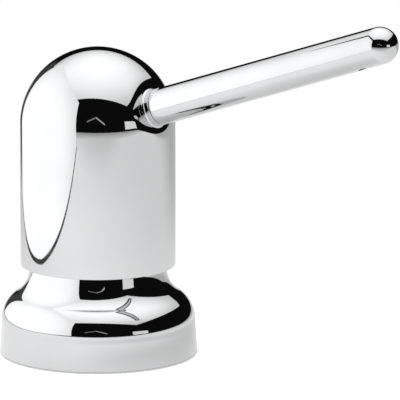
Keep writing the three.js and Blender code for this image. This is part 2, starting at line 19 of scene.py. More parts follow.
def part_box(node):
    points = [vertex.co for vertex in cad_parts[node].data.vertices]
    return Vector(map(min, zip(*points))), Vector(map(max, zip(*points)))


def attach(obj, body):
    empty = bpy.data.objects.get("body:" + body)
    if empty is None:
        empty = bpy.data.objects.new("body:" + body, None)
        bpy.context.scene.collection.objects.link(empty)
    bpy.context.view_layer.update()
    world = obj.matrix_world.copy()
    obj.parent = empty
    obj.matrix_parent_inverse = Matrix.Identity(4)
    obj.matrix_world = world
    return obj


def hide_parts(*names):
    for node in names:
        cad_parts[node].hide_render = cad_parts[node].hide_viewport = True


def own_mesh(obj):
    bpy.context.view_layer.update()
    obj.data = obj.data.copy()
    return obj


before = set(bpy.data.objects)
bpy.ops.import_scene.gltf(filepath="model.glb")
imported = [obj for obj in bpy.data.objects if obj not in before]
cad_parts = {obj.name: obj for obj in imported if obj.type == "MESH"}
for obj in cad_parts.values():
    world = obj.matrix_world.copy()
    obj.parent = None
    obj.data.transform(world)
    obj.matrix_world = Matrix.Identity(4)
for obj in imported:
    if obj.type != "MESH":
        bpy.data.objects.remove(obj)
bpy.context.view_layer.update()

MM = 0.001
DOME_CENTRE = 59.6 * MM
log = logging.getLogger("dispenser")

Grid = np.ndarray
Corner = Sequence[float]
Reshape = Callable[[Grid], Grid]


class Body(str, Enum):
    """The moving bodies of the dispenser."""

    BASE = "base"
    CARTRIDGE = "cartridge"
    SUCTION_VALVE = "suction_valve"
    PLUNGER = "plunger"
    DISCHARGE_VALVE = "discharge_valve"
    HEAD = "head"


class Slot(str, Enum):
    """The material slots of the record."""

    CHROME = "chrome"
    STEEL = "steel"
    BRASS = "brass"
    RUBBER = "black_rubber"
    WHITE_PLASTIC = "white_plastic"
    GREY_PLASTIC = "grey_plastic"
    CLEAR_TUBE = "clear_tube"
    MILKY_PLASTIC = "milky_plastic"


# ---------------------------------------------------------------------------------- shader maths


class Wire:
    """A shader socket on which Python's operators add Math nodes."""

    def __init__(self, paint: "Paint", socket: bpy.types.NodeSocket) -> None:
        """Keeps the socket and the material that it belongs to.

        Args:
            paint: the material under construction.
            socket: an output socket of one of its nodes.
        """
        self.paint = paint
        self.socket = socket

    def _with(self, operation: str, first: "Value", second: "Value") -> "Wire":
        """Adds one Math node.

        Args:
            operation: the Math node's operation.
            first: its first input.
            second: its second input.

        Returns:
            The node's output.
        """
        return self.paint.node("ShaderNodeMath", {"operation": operation}, {0: first, 1: second})

    def __add__(self, other: "Value") -> "Wire":
        """Sum."""
        return self._with("ADD", self, other)

    def __radd__(self, other: "Value") -> "Wire":
        """Sum with a number on the left."""
        return self._with("ADD", other, self)

    def __sub__(self, other: "Value") -> "Wire":
        """Difference."""
        return self._with("SUBTRACT", self, other)

    def __rsub__(self, other: "Value") -> "Wire":
        """Difference from a number on the left."""
        return self._with("SUBTRACT", other, self)

    def __mul__(self, other: "Value") -> "Wire":
        """Product."""
        return self._with("MULTIPLY", self, other)

    def __rmul__(self, other: "Value") -> "Wire":
        """Product with a number on the left."""
        return self._with("MULTIPLY", other, self)

    def __pow__(self, other: "Value") -> "Wire":
        """Power."""
        return self._with("POWER", self, other)

    def __rpow__(self, other: "Value") -> "Wire":
        """Power of a number on the left."""
        return self._with("POWER", other, self)

    def between(self, low: float, high: float) -> "Wire":
        """Maps the range from low to high onto 0 to 1, smoothly and clamped.

        Args:
            low: the value that gives 0.
            high: the value that gives 1.

        Returns:
            The mapped value.
        """
        settings = {"interpolation_type": "SMOOTHSTEP"}
        inputs = {"Value": self, "From Min": low, "From Max": high, "To Min": 0.0, "To Max": 1.0}
        return self.paint.node("ShaderNodeMapRange", settings, inputs, "Result")


Value = Union[Wire, float, int, Sequence[float]]


class Paint:
    """One node material, written as expressions on its sockets."""

    def __init__(self, name: str) -> None:
        """Starts an empty node material.

        Args:
            name: the material's name.
        """
        self.material = bpy.data.materials.new(name)
        self.material.use_nodes = True
        self.tree = self.material.node_tree
        self.tree.nodes.clear()

    def node(
        self,
        kind: str,
        settings: Optional[dict] = None,
        inputs: Optional[dict] = None,
        output: Union[int, str] = 0,
    ) -> Wire:
        """Adds any node: its settings first, then the values or links of its sockets.

        Args:
            kind: the node's type.
            settings: attributes of the node; "stops" sets a colour ramp's positions and colours.
            inputs: socket name or number to a number, a colour, a vector or a wire.
            output: the socket that is handed back.

        Returns:
            The chosen output.
        """
        node = self.tree.nodes.new(kind)
        for key, value in (settings or {}).items():
            if key == "stops":
                ramp = node.color_ramp.elements
                while len(ramp) < len(value):
                    ramp.new(0.5)
                for element, (position, colour) in zip(ramp, value):
                    element.position = position
                    element.color = colour
            else:
                setattr(node, key, value)
        for key, value in (inputs or {}).items():
            if isinstance(value, Wire):
                self.tree.links.new(value.socket, node.inputs[key])
            else:
                node.inputs[key].default_value = value
        return Wire(self, node.outputs[output])

    def place(self) -> Wire:
        """The point on the piece, in metres."""
        return self.node("ShaderNodeTexCoord", output="Object")

    def stretched(self, scale: Sequence[float]) -> Wire:
        """The point on the piece with each axis scaled.

        Args:
            scale: factors along X, Y and Z.

        Returns:
            The scaled point.
        """
        return self.node("ShaderNodeMapping", inputs={"Vector": self.place(), "Scale": scale})

    def axes(self) -> tuple[Wire, Wire, Wire]:
        """The point's X, Y and Z as three values.

        Returns:
            The three values.
        """
        split = self.node("ShaderNodeSeparateXYZ", inputs={"Vector": self.place()})
        outputs = split.socket.node.outputs
        return Wire(self, outputs[0]), Wire(self, outputs[1]), Wire(self, outputs[2])

    def noise(self, scale: float, detail: float = 2.0, at: Optional[Wire] = None) -> Wire:
        """Soft noise from 0 to 1.

        Args:
            scale: waves per metre.
            detail: how many finer layers are added.
            at: the point that it is read at; the piece's own point by default.

        Returns:
            The noise value.
        """
        inputs = {"Vector": at or self.place(), "Scale": scale, "Detail": detail}
        return self.node("ShaderNodeTexNoise", inputs=inputs, output="Fac")

    def grains(self, scale: float) -> Wire:
        """Distance to the nearest of many scattered points, from 0 upwards.

        Args:
            scale: points per metre.

        Returns:
            The distance value.
        """
        return self.node("ShaderNodeTexVoronoi", inputs={"Vector": self.place(), "Scale": scale})

    def blend(self, share: Value, first: Value, second: Value) -> Wire:
        """Mixes two colours.

        Args:
            share: 0 for the first colour, 1 for the second.
            first: a colour or a wire.
            second: a colour or a wire.

        Returns:
            The mixed colour.
        """
        return self.node("ShaderNodeMix", {"data_type": "RGBA"}, {0: share, 6: first, 7: second}, 2)

    def relief(self, height: Value, depth: float) -> Wire:
        """A normal from a height pattern.

        Args:
            height: the pattern, from 0 to 1.
            depth: its full depth in metres.

        Returns:
            The bent normal.
        """
        sockets = {"Height": height, "Distance": depth, "Strength": 1.0}
        return self.node("ShaderNodeBump", inputs=sockets)

    def distance(self, centre: Corner) -> Wire:
        """The distance from a point, in metres.

        Args:
            centre: the point, in the piece's own coordinates.

        Returns:
            The distance value.
        """
        settings = {"operation": "DISTANCE"}
        return self.node("ShaderNodeVectorMath", settings, {0: self.place(), 1: centre}, "Value")

    def lamp(self, strength: Value) -> bpy.types.Material:
        """Ends the material as a light source of the given strength."""
        self.node_output(self.node("ShaderNodeEmission", inputs={"Strength": strength}))
        return self.material

    def finish(self, **sockets: Value) -> bpy.types.Material:
        """Ends the material with a Principled shader.

        Args:
            sockets: the shader's inputs, with _ in place of spaces.

        Returns:
            The finished material.
        """
        named = {key.replace("_", " "): value for key, value in sockets.items()}
        shader = self.node("ShaderNodeBsdfPrincipled", inputs=named)
        self.node_output(shader)
        return self.material

    def node_output(self, shader: Wire) -> None:
        """Links a shader to the material's output.

        Args:
            shader: the shader's output.
        """
        output = self.tree.nodes.new("ShaderNodeOutputMaterial")
        self.tree.links.new(shader.socket, output.inputs["Surface"])


def colour(red: float, green: float, blue: float) -> tuple[float, float, float, float]:
    """An opaque colour from three linear values."""
    return (red, green, blue, 1.0)


# ---------------------------------------------------------------------------------- finishes


@dataclass(frozen=True)
class Finish:
    """A surface finish that can be put on any piece."""

    slot: Slot

    def material(self) -> bpy.types.Material:
        """The finish as a node material, made the first time that it is asked for."""
        name = type(self).__name__.lower() + "_" + self.slot.value
        return bpy.data.materials.get(name) or self.mixed(Paint(name))

    def mixed(self, paint: Paint) -> bpy.types.Material:
        """Builds the material.

        Args:
            paint: the empty material.

        Returns:
            The finished material.
        """
        raise NotImplementedError


@dataclass(frozen=True)
class Chrome(Finish):
    """Polished chrome plate: a cool mirror with the faint waviness of buffed metal."""

    slot: Slot = Slot.CHROME
    tint: tuple = colour(0.658, 0.662, 0.668)
    haze: tuple = colour(0.632, 0.636, 0.642)

    def mixed(self, paint: Paint) -> bpy.types.Material:
        """Builds the material: clouded tint, fine polish marks and a slight orange-peel relief.

        Args:
            paint: the empty material.

        Returns:
            The finished material.
        """
        clouds = paint.noise(70.0, 3.0).between(0.35, 0.75)
        polish = paint.noise(2600.0, 2.0, paint.stretched((1.0, 1.0, 0.25)))
        smears = paint.noise(160.0, 4.0).between(0.52, 0.8)
        return paint.finish(
            Base_Color=paint.blend(clouds, self.tint, self.haze),
            Metallic=1.0,
            Roughness=0.018 + 0.02 * polish + 0.025 * smears,
            Normal=paint.relief(paint.noise(420.0, 1.0), 0.0006 * MM),
        )


@dataclass(frozen=True)
class Steel(Finish):
    """Stainless steel, turned or drawn, with fine concentric lines."""

    slot: Slot = Slot.STEEL
    bright: tuple = colour(0.6, 0.605, 0.61)
    dull: tuple = colour(0.44, 0.445, 0.45)

    def mixed(self, paint: Paint) -> bpy.types.Material:
        """Builds the material: rings about the piece's axis, which follow its radius.

        Args:
            paint: the empty material.

        Returns:
            The finished material.
        """
        x, y, z = paint.axes()
        radius = (x * x + y * y) ** 0.5
        ring = paint.node("ShaderNodeCombineXYZ", inputs={0: radius, 1: z * 0.4})
        lines = paint.noise(5200.0, 3.0, ring)
        stains = paint.noise(240.0, 3.0).between(0.45, 0.75)
        return paint.finish(
            Base_Color=paint.blend(stains * 0.6 + lines * 0.4, self.bright, self.dull),
            Metallic=1.0,
            Roughness=0.2 + 0.16 * lines + 0.08 * stains,
            Normal=paint.relief(lines, 0.004 * MM),
        )


@dataclass(frozen=True)
class Brass(Finish):
    """Bare turned brass, a little dull and brown where hands have touched it."""

    slot: Slot = Slot.BRASS
    fresh: tuple = colour(0.76, 0.56, 0.27)
    aged: tuple = colour(0.46, 0.3, 0.13)

    def mixed(self, paint: Paint) -> bpy.types.Material:
        """Builds the material: tool lines round the axis, with tarnish in soft patches.

        Args:
            paint: the empty material.

        Returns:
            The finished material.
        """
        tooling = paint.noise(6000.0, 2.0, paint.stretched((0.04, 0.04, 1.0)))
        patches = paint.noise(130.0, 4.0).between(0.45, 0.78)
        return paint.finish(
            Base_Color=paint.blend(patches * 0.7 + tooling * 0.15, self.fresh, self.aged),
            Metallic=1.0,
            Roughness=0.24 + 0.14 * tooling + 0.2 * patches,
            Normal=paint.relief(tooling, 0.006 * MM),
        )


@dataclass(frozen=True)
class Rubber(Finish):
    """Matt black rubber with a fine grain and a grey bloom."""

    slot: Slot = Slot.RUBBER
    black: tuple = colour(0.014, 0.014, 0.016)
    bloom: tuple = colour(0.05, 0.05, 0.053)

    def mixed(self, paint: Paint) -> bpy.types.Material:
        """Builds the material: pebbled grain under patches of bloom.

        Args:
            paint: the empty material.

        Returns:
            The finished material.
        """
        bloom = paint.noise(220.0, 4.0).between(0.45, 0.85)
        grain = paint.noise(3800.0, 3.0)
        return paint.finish(
            Base_Color=paint.blend(bloom, self.black, self.bloom),
            Roughness=0.62 + 0.2 * grain,
            Normal=paint.relief(grain, 0.02 * MM),
            Specular_IOR_Level=0.35,
        )


@dataclass(frozen=True)
class Moulded(Finish):
    """Injection-moulded plastic with a spark-eroded texture."""

    slot: Slot = Slot.WHITE_PLASTIC
    body: tuple = colour(0.8, 0.79, 0.75)
    shade: tuple = colour(0.7, 0.69, 0.64)

    def mixed(self, paint: Paint) -> bpy.types.Material:
        """Builds the material: faint flow clouds and a fine pitted skin.

        Args:
            paint: the empty material.

        Returns:
            The finished material.
        """
        flow = paint.noise(90.0, 3.0, paint.stretched((1.0, 1.0, 0.3))).between(0.4, 0.8)
        pits = paint.grains(2600.0).between(0.1, 0.7)
        return paint.finish(
            Base_Color=paint.blend(flow, self.body, self.shade),
            Roughness=0.34 + 0.14 * pits,
            Normal=paint.relief(pits, 0.006 * MM),
            Subsurface_Weight=0.1,
            Subsurface_Radius=(0.6 * MM, 0.5 * MM, 0.4 * MM),
        )


@dataclass(frozen=True)
class Milky(Finish):
    """Blown polyethylene: milky, waxy and slightly see-through."""

    slot: Slot = Slot.MILKY_PLASTIC
    thick: tuple = colour(0.86, 0.87, 0.86)
    thin: tuple = colour(0.74, 0.77, 0.78)
    cover: float = 0.78

    def mixed(self, paint: Paint) -> bpy.types.Material:
        """Builds the material: thick and thin streaks from blowing, with a waxy skin.

        Args:
            paint: the empty material.

        Returns:
            The finished material.
        """
        streaks = paint.noise(60.0, 3.0, paint.stretched((1.0, 1.0, 0.22))).between(0.35, 0.8)
        skin = paint.noise(1500.0, 3.0)
        return paint.finish(
            Base_Color=paint.blend(streaks, self.thick, self.thin),
            Alpha=self.cover + 0.1 * (1 - streaks),
            Roughness=0.36 + 0.14 * skin,
            Normal=paint.relief(skin, 0.015 * MM),
            Subsurface_Weight=0.3,
            Subsurface_Radius=(2.0 * MM, 2.0 * MM, 1.8 * MM),
        )


@dataclass(frozen=True)
class ClearHose(Finish):
    """Extruded soft tube, half clear, with fine draw lines along it."""

    slot: Slot = Slot.CLEAR_TUBE
    tint: tuple = colour(0.8, 0.84, 0.86)
    cloud: tuple = colour(0.9, 0.92, 0.92)

    def mixed(self, paint: Paint) -> bpy.types.Material:
        """Builds the material: long streaks and a soft gloss.

        Args:
            paint: the empty material.

        Returns:
            The finished material.
        """
        streaks = paint.noise(1400.0, 2.0, paint.stretched((1.0, 1.0, 0.03)))
        haze = paint.noise(300.0, 3.0).between(0.4, 0.8)
        return paint.finish(
            Base_Color=paint.blend(streaks, self.tint, self.cloud),
            Alpha=0.55 + 0.15 * haze,
            Roughness=0.16 + 0.1 * streaks,
            Normal=paint.relief(streaks, 0.004 * MM),
        )


CHROME = Chrome()
STEEL = Steel()
BRASS = Brass()
RUBBER = Rubber()
WHITE = Moulded()
GREY = Moulded(Slot.GREY_PLASTIC, colour(0.27, 0.29, 0.31), colour(0.21, 0.225, 0.24))
MILKY = Milky()
HOSE = ClearHose()

# ---------------------------------------------------------------------------------- outlines


def arc(
    centre: Corner, radius: float, start: float, end: float, steps: int = 24
) -> list[tuple[float, float, float]]:
    """Corners along an arc, which stay unrounded.

    Each is the centre plus the radius times the cosine and sine of an evenly stepped angle.

    Args:
        centre: the arc's centre, as radius and height.
        radius: the arc's radius.
        start: first angle in degrees, from the radius axis towards the height axis.
        end: last angle in degrees.
        steps: how many steps join them.

    Returns:
        The corners, each as (radius, height, rounding of 0).
    """
    turn = np.radians(np.linspace(start, end, steps + 1))
    across = centre[0] + radius * np.cos(turn)
    up = centre[1] + radius * np.sin(turn)
    return [(float(a), float(b), 0.0) for a, b in zip(across, up)]


def outline(corners: Sequence[Corner], rounding: float = 0.2 * MM, closes: bool = True) -> Grid:
    """A smooth outline through corners, with rounded ones.

    A rounded corner P is a quadratic curve from a point A before it to a point B after it:
    (1 - t)^2 A + 2 t (1 - t) P + t^2 B. A further point is added just outside A and B, so that the
    flats beside them stay flat when they are shaded smoothly.

    Args:
        corners: (radius, height) or (radius, height, rounding) of each corner, in order.
        rounding: the rounding of corners that state none.
        closes: whether the last corner joins the first.

    Returns:
        The outline's points, shape (n, 2).
    """
    place = np.array([corner[:2] for corner in corners], float)
    wanted = np.array([corner[2] if len(corner) > 2 else rounding for corner in corners])
    before = np.roll(place, 1, axis=0) - place
    after = np.roll(place, -1, axis=0) - place
    shortest = np.minimum(np.linalg.norm(before, axis=1), np.linalg.norm(after, axis=1))
    size = np.minimum(wanted, shortest * 0.4)
    if not closes:
        size[0] = size[-1] = 0.0
    step = np.linspace(0.0, 1.0, 6)[:, None]
    points = []
    for corner, reach, back, ahead in zip(place, size, before, after):
        if reach <= 0:
            points.append(corner[None, :])
            continue
        start = corner + back / np.linalg.norm(back) * reach
        end = corner + ahead / np.linalg.norm(ahead) * reach
        bend = (1 - step) ** 2 * start + 2 * step * (1 - step) * corner + step**2 * end
        lead = start + (start - corner) * 0.2
        tail = end + (end - corner) * 0.2
        points.append(np.vstack([lead[None, :], bend, tail[None, :]]))
    return np.vstack(points)


# ---------------------------------------------------------------------------------- surfaces


def surface(name: str, points: Grid, rows_close: bool = True) -> bpy.types.Object:
    """A mesh from a grid of points, whose neighbours are joined by four-sided faces.

    Face (i, j) takes the points (i, j), (i, j + 1), (i + 1, j + 1) and (i + 1, j). The last column
    joins the first, and the last row joins the first where the rows close. Points that coincide,
    as at a pole, are then merged, and the faces are turned outwards.

    Args:
        name: the object's name.
        points: positions, shape (rows, columns, 3).
        rows_close: whether the last row joins the first.

    Returns:
        The object, at the origin.
    """
    rows, columns = points.shape[:2]
    index = np.arange(rows * columns).reshape(rows, columns)
    if rows_close:
        index = np.vstack([index, index[:1]])
    index = np.hstack([index, index[:, :1]])
    quads = np.stack([index[:-1, :-1], index[:-1, 1:], index[1:, 1:], index[1:, :-1]], axis=-1)
    quads = quads.reshape(-1, 4)
    mesh = bpy.data.meshes.new(name)
    mesh.vertices.add(rows * columns)
    mesh.vertices.foreach_set("co", points.reshape(-1).astype(np.float32))
    mesh.loops.add(quads.size)
    mesh.loops.foreach_set("vertex_index", quads.reshape(-1).astype(np.int32))
    mesh.polygons.add(len(quads))
    mesh.polygons.foreach_set("loop_start", (np.arange(len(quads)) * 4).astype(np.int32))
    mesh.update(calc_edges=True)
    piece = bpy.data.objects.new(name, mesh)
    bpy.context.scene.collection.objects.link(piece)
    tidy_mesh(piece)
    return piece


def tidy_mesh(piece: bpy.types.Object, sharp: float = 50.0) -> None:
    """Merges points that coincide, turns the faces outwards and shades them smoothly.

    Args:
        piece: the object whose mesh is tidied.
        sharp: edges that bend by more than this many degrees stay sharp.
    """
    shape = bmesh.new()
    shape.from_mesh(piece.data)
    bmesh.ops.remove_doubles(shape, verts=shape.verts, dist=1e-8)
    bmesh.ops.dissolve_degenerate(shape, dist=1e-9, edges=shape.edges)
    bmesh.ops.recalc_face_normals(shape, faces=shape.faces)
    if shape.calc_volume(signed=True) < 0:
        bmesh.ops.reverse_faces(shape, faces=shape.faces)
    for edge in shape.edges:
        edge.smooth = len(edge.link_faces) < 2 or edge.calc_face_angle(0.0) < math.radians(sharp)
    for face in shape.faces:
        face.smooth = True
    shape.to_mesh(piece.data)
    shape.free()
    piece.data.update()


def turned(
    name: str,
    line: Grid,
    sides: int = 96,
    closes: bool = True,
    reshape: Optional[Reshape] = None,
) -> bpy.types.Object:
    """A piece turned about the Z axis.

    Point (i, j) lies at (r cos a, r sin a, z), with r and z of the outline's point i and the angle
    a = 2 pi j / sides.

    Args:
        name: the object's name.
        line: the outline's points as (radius, height).
        sides: how many steps go round.
        closes: whether the outline closes on itself; otherwise it ends on the axis.
        reshape: a change of the finished grid of points, such as a thread or flats.

    Returns:
        The object.
    """
    angle = np.linspace(0.0, 2 * np.pi, sides, endpoint=False)[None, :]
    radius, height = line[:, 0][:, None], line[:, 1][:, None]
    up = np.broadcast_to(height, (len(line), sides))
    points = np.stack([radius * np.cos(angle), radius * np.sin(angle), up], axis=-1)
    if reshape:
        points = reshape(points)
    return surface(name, points, rows_close=closes)


def scaled_radius(points: Grid, factor: Grid) -> Grid:
    """Moves points towards or away from the Z axis.

    Args:
        points: positions, shape (rows, columns, 3).
        factor: what each point's radius is multiplied by.

    Returns:
        The moved points.
    """
    moved = points.copy()
    moved[..., 0] *= factor
    moved[..., 1] *= factor
    return moved


@dataclass(frozen=True)
class Thread:
    """A rounded screw thread cut into part of a turned piece.

    The radius changes by the depth times (1 + cos(2 pi (z / pitch - a / 2 pi))) / 2, at height z
    and angle a, and fades out at both ends of the threaded length.
    """

    low: float
    high: float
    pitch: float
    depth: float
    inner: bool = False
    radius: float = 0.0
    reach: float = 0.6 * MM

    def __call__(self, points: Grid) -> Grid:
        """Cuts the thread.

        Args:
            points: the turned piece's grid.

        Returns:
            The threaded grid.
        """
        radius = np.hypot(points[..., 0], points[..., 1])
        angle = np.arctan2(points[..., 1], points[..., 0])
        height = points[..., 2]
        wave = (1 + np.cos(2 * np.pi * height / self.pitch - angle)) / 2
        from_low = np.clip((height - self.low) / self.pitch, 0, 1)
        from_high = np.clip((self.high - height) / self.pitch, 0, 1)
        near = np.abs(radius - self.radius) < self.reach
        change = self.depth * wave * from_low * from_high * near * (1 if self.inner else -1)
        return scaled_radius(points, 1 + change / np.maximum(radius, 1e-9))


def rows_between(
    radius: float, low: float, high: float, step: float
) -> list[tuple[float, float, float]]:
    """Evenly spaced corners up a straight wall, close enough to carry a thread.

    Args:
        radius: the wall's radius.
        low: first height.
        high: last height.
        step: the wanted distance between rows.

    Returns:
        The corners, unrounded.
    """
    count = max(2, int(abs(high - low) / step))
    return [(radius, float(z), 0.0) for z in np.linspace(low, high, count)]


def carve(
    piece: bpy.types.Object, *tools: bpy.types.Object, operation: str = "DIFFERENCE"
) -> bpy.types.Object:
    """Cuts tools out of a piece, or joins them to it, and removes them.

    Args:
        piece: the piece that is changed.
        tools: closed meshes.
        operation: DIFFERENCE, UNION or INTERSECT.

    Returns:
        The changed piece.
    """
    for tool in tools:
        step = piece.modifiers.new("carve", "BOOLEAN")
        step.operation = operation
        step.solver = "EXACT"
        step.object = tool
        evaluated = piece.evaluated_get(bpy.context.evaluated_depsgraph_get())
        result = bpy.data.meshes.new_from_object(evaluated)
        piece.modifiers.clear()
        old = piece.data
        piece.data = result
        bpy.data.meshes.remove(old)
        bpy.data.objects.remove(tool)
    piece.data.name = piece.name
    tidy_mesh(piece, sharp=32.0)
    return piece


def block(name: str, low: Corner, high: Corner, turn: float = 0.0) -> bpy.types.Object:
    """A plain block used as a cutting or joining tool, turned about the Z axis.

    Args:
        name: the object's name.
        low: lowest corner.
        high: highest corner.
        turn: angle in degrees.

    Returns:
        The object.
    """
    shape = bmesh.new()
    bmesh.ops.create_cube(shape, size=1.0)
    middle = (Vector(low) + Vector(high)) / 2
    size = Vector(high) - Vector(low)
    spin = Matrix.Rotation(math.radians(turn), 4, "Z")
    place = spin @ Matrix.Translation(middle) @ Matrix.Diagonal((*size, 1))
    bmesh.ops.transform(shape, matrix=place, verts=shape.verts)
    mesh = bpy.data.meshes.new(name)
    shape.to_mesh(mesh)
    shape.free()
    piece = bpy.data.objects.new(name, mesh)
    bpy.context.scene.collection.objects.link(piece)
    return piece


def torus(name: str, radius: float, section: float, height: float) -> bpy.types.Object:
    """A ring of round section about the Z axis.

    Args:
        name: the object's name.
        radius: from the axis to the section's centre.
        section: the section's radius.
        height: the section's height.

    Returns:
        The object.
    """
    return turned(name, outline(arc((radius, height), section, 0, 345, 23)))


def sphere(name: str, radius: float, height: float) -> bpy.types.Object:
    """A ball on the Z axis.

    Args:
        name: the object's name.
        radius: the ball's radius.
        height: its centre's height.

    Returns:
        The object.
    """
    line = outline(arc((0.0, height), radius, -90, 90, 32), closes=False)
    return turned(name, line, 64, closes=False)


# ---------------------------------------------------------------------------------- frame sizes


@dataclass(frozen=True)
class Span:
    """How far a solid of the frame reaches: its radius about the Z axis and its two ends."""

    radius: float
    low: float
    high: float

    @classmethod
    def of(cls, node: str) -> "Span":
        """Reads the box of a turned solid.

        Args:
            node: the solid's name.

        Returns:
            Its span.
        """
        lowest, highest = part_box(node)
        return cls(highest.y, lowest.z, highest.z)

    @property
    def height(self) -> float:
        """The distance between the two ends."""
        return self.high - self.low

    @property
    def middle(self) -> float:
        """The height halfway between the two ends."""
        return (self.high + self.low) / 2


def fit(piece: bpy.types.Object, body: Body, node: str, finish: Finish) -> None:
    """Puts a fine piece in place of a solid: it rides, replaces, and takes its finish.

    Args:
        piece: the fine piece.
        body: the body that it moves with.
        node: the solid that it stands for.
        finish: its finish.
    """
    piece.data.materials.clear()
    piece.data.materials.append(finish.material())
    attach(piece, body.value)
    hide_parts(node)
    faces = len(piece.data.polygons)
    log.info("%s stands for %s on %s, %d faces", piece.name, node, body.value, faces)


def ring(span: Span, bore: float, rounding: float = 0.25 * MM) -> Grid:
    """The outline of a flat ring.

    Args:
        span: its outer radius and its two faces.
        bore: its inner radius.
        rounding: of its four edges.

    Returns:
        The outline.
    """
    corners = [(bore, span.low), (span.radius, span.low), (span.radius, span.high), (bore, span.high)]
    return outline(corners, rounding)


def rod(
    radius: float, low: float, high: float, low_edge: float = 0.0, high_edge: float = 0.0
) -> Grid:
    """The outline of a round bar, from its lower middle out and up to its upper middle.

    Args:
        radius: the bar's radius.
        low: where it starts.
        high: where it ends.
        low_edge: the rounding of its lower edge.
        high_edge: the rounding of its upper edge.

    Returns:
        The outline, which ends on the axis.
    """
    corners = [(0.0, low), (radius, low, low_edge), (radius, high, high_edge), (0.0, high)]
    return outline(corners, closes=False)


# ---------------------------------------------------------------------------------- base


@dataclass
class Base:
    """The flared base with its gasket and the shank that passes through the worktop."""

    rim: float = 25.0 * MM
    rim_top: float = 8.6 * MM
    shoulder: float = 8.0 * MM
    cove: float = 7.5 * MM
    crest: float = 58.0
    cove_end: float = 14.0
    neck_curve: float = 25.0 * MM
    neck_end: float = 5.0
    wall: float = 2.4 * MM
    ledge: float = 3.0 * MM
    flange_seat: float = 15.9 * MM
    shank_bore: float = 11.2 * MM
    pitch: float = 2.0 * MM
    thread_depth: float = 0.75 * MM
    shank_radius: float = 13.5 * MM
    body: Body = Body.BASE

    def build(self) -> None:
        """Builds the base, its gasket and the shank."""
        fit(self.escutcheon(), self.body, "base_escutcheon", CHROME)
        fit(self.gasket(), self.body, "base_gasket", RUBBER)
        fit(self.shank(), self.body, "threaded_shank", BRASS)

    def escutcheon(self) -> bpy.types.Object:
        """The chrome base: rim, rounded shoulder, cove and neck, cored from below.

        The shoulder's arc ends at the crest angle, where the cove's arc takes over with the same
        slope, and a wider arc leads from the cove into the neck.

        Returns:
            The object.
        """
        span = Span.of("base_escutcheon")
        centre = self.rim - self.shoulder
        slope = math.radians(self.crest)
        far = (
            centre + (self.shoulder + self.cove) * math.cos(slope),
            self.rim_top + (self.shoulder + self.cove) * math.sin(slope),
        )
        cove = arc(far, self.cove, 180 + self.crest, 180 + self.cove_end, 40)[1:]
        bend = math.radians(self.cove_end)
        further = self.neck_curve - self.cove
        wide = (far[0] + further * math.cos(bend), far[1] + further * math.sin(bend))
        cove += arc(wide, self.neck_curve, 180 + self.cove_end, 180 + self.neck_end, 16)[1:]
        neck, neck_foot = cove[-1][:2]
        top = span.high
        seat = top - self.ledge
        under = seat - self.ledge
        core = self.rim - 4.2 * MM
        hole = self.shank_radius + 0.4 * MM
        gasket_seat = self.rim - 2.2 * MM
        corners = [
            (gasket_seat, span.low),
            (span.radius, span.low, 0.35 * MM),
            (self.rim, self.rim_top - 0.8 * MM, 0.8 * MM),
            *arc((centre, self.rim_top), self.shoulder, 0, self.crest, 40),
            *cove,
            (neck, neck_foot + 1 * MM, 0.0),
            (neck, top, 0.4 * MM),
            (self.flange_seat, top),
            (self.flange_seat, seat),
            (hole, seat),
            (hole, under),
            (neck - self.wall, under),
            (neck - self.wall + 0.6 * MM, far[1] - 6 * MM, 2 * MM),
            (core - 1.2 * MM, self.rim_top + 2.5 * MM, 2 * MM),
            (core, self.rim_top - 2 * MM, 1 * MM),
            (core, 2.4 * MM),
            (gasket_seat, 2.4 * MM),
        ]
        return turned("base_shell", outline(corners), 192)

    def gasket(self) -> bpy.types.Object:
        """The flat rubber ring under the base, with two pressed grooves in its underside.

        Returns:
            The object.
        """
        span = Span.of("base_gasket")
        bore = self.shank_radius + 0.5 * MM
        middle = (bore + span.radius) / 2
        groove = 0.35 * MM
        dips = [
            corner
            for centre in (middle - 2.2 * MM, middle + 2.2 * MM)
            for corner in (
                (centre - 0.7 * MM, span.low),
                (centre - 0.3 * MM, span.low + groove),
                (centre + 0.3 * MM, span.low + groove),
                (centre + 0.7 * MM, span.low),
            )
        ]
        edge = [(span.radius, span.low), (span.radius, span.high)]
        corners = [(bore, span.low), *dips, *edge, (bore, span.high)]
        return turned("gasket_ring", outline(corners, 0.2 * MM), 144)

    def shank(self) -> bpy.types.Object:
        """The flanged brass tube, threaded from its lower end up to the worktop's top.

        Returns:
            The object.
        """
        span = Span.of("threaded_shank")
        thread_top = -2.0 * MM
        flange = span.high - 2.3 * MM
        row = self.pitch / 9
        corners = [
            (self.shank_bore, span.low, 0.3 * MM),
            (self.shank_radius - 0.8 * MM, span.low, 0.2 * MM),
            (self.shank_radius, span.low + 0.8 * MM, 0.0),
            *rows_between(self.shank_radius, span.low + 1 * MM, thread_top, row),
            (self.shank_radius, flange, 0.3 * MM),
            (span.radius, flange),
            (span.radius, span.high),
            (self.shank_bore, span.high, 0.4 * MM),
        ]
        start = span.low + 0.8 * MM
        cut = Thread(start, thread_top, self.pitch, self.thread_depth, radius=self.shank_radius)
        return turned("shank_tube", outline(corners), 96, reshape=cut)


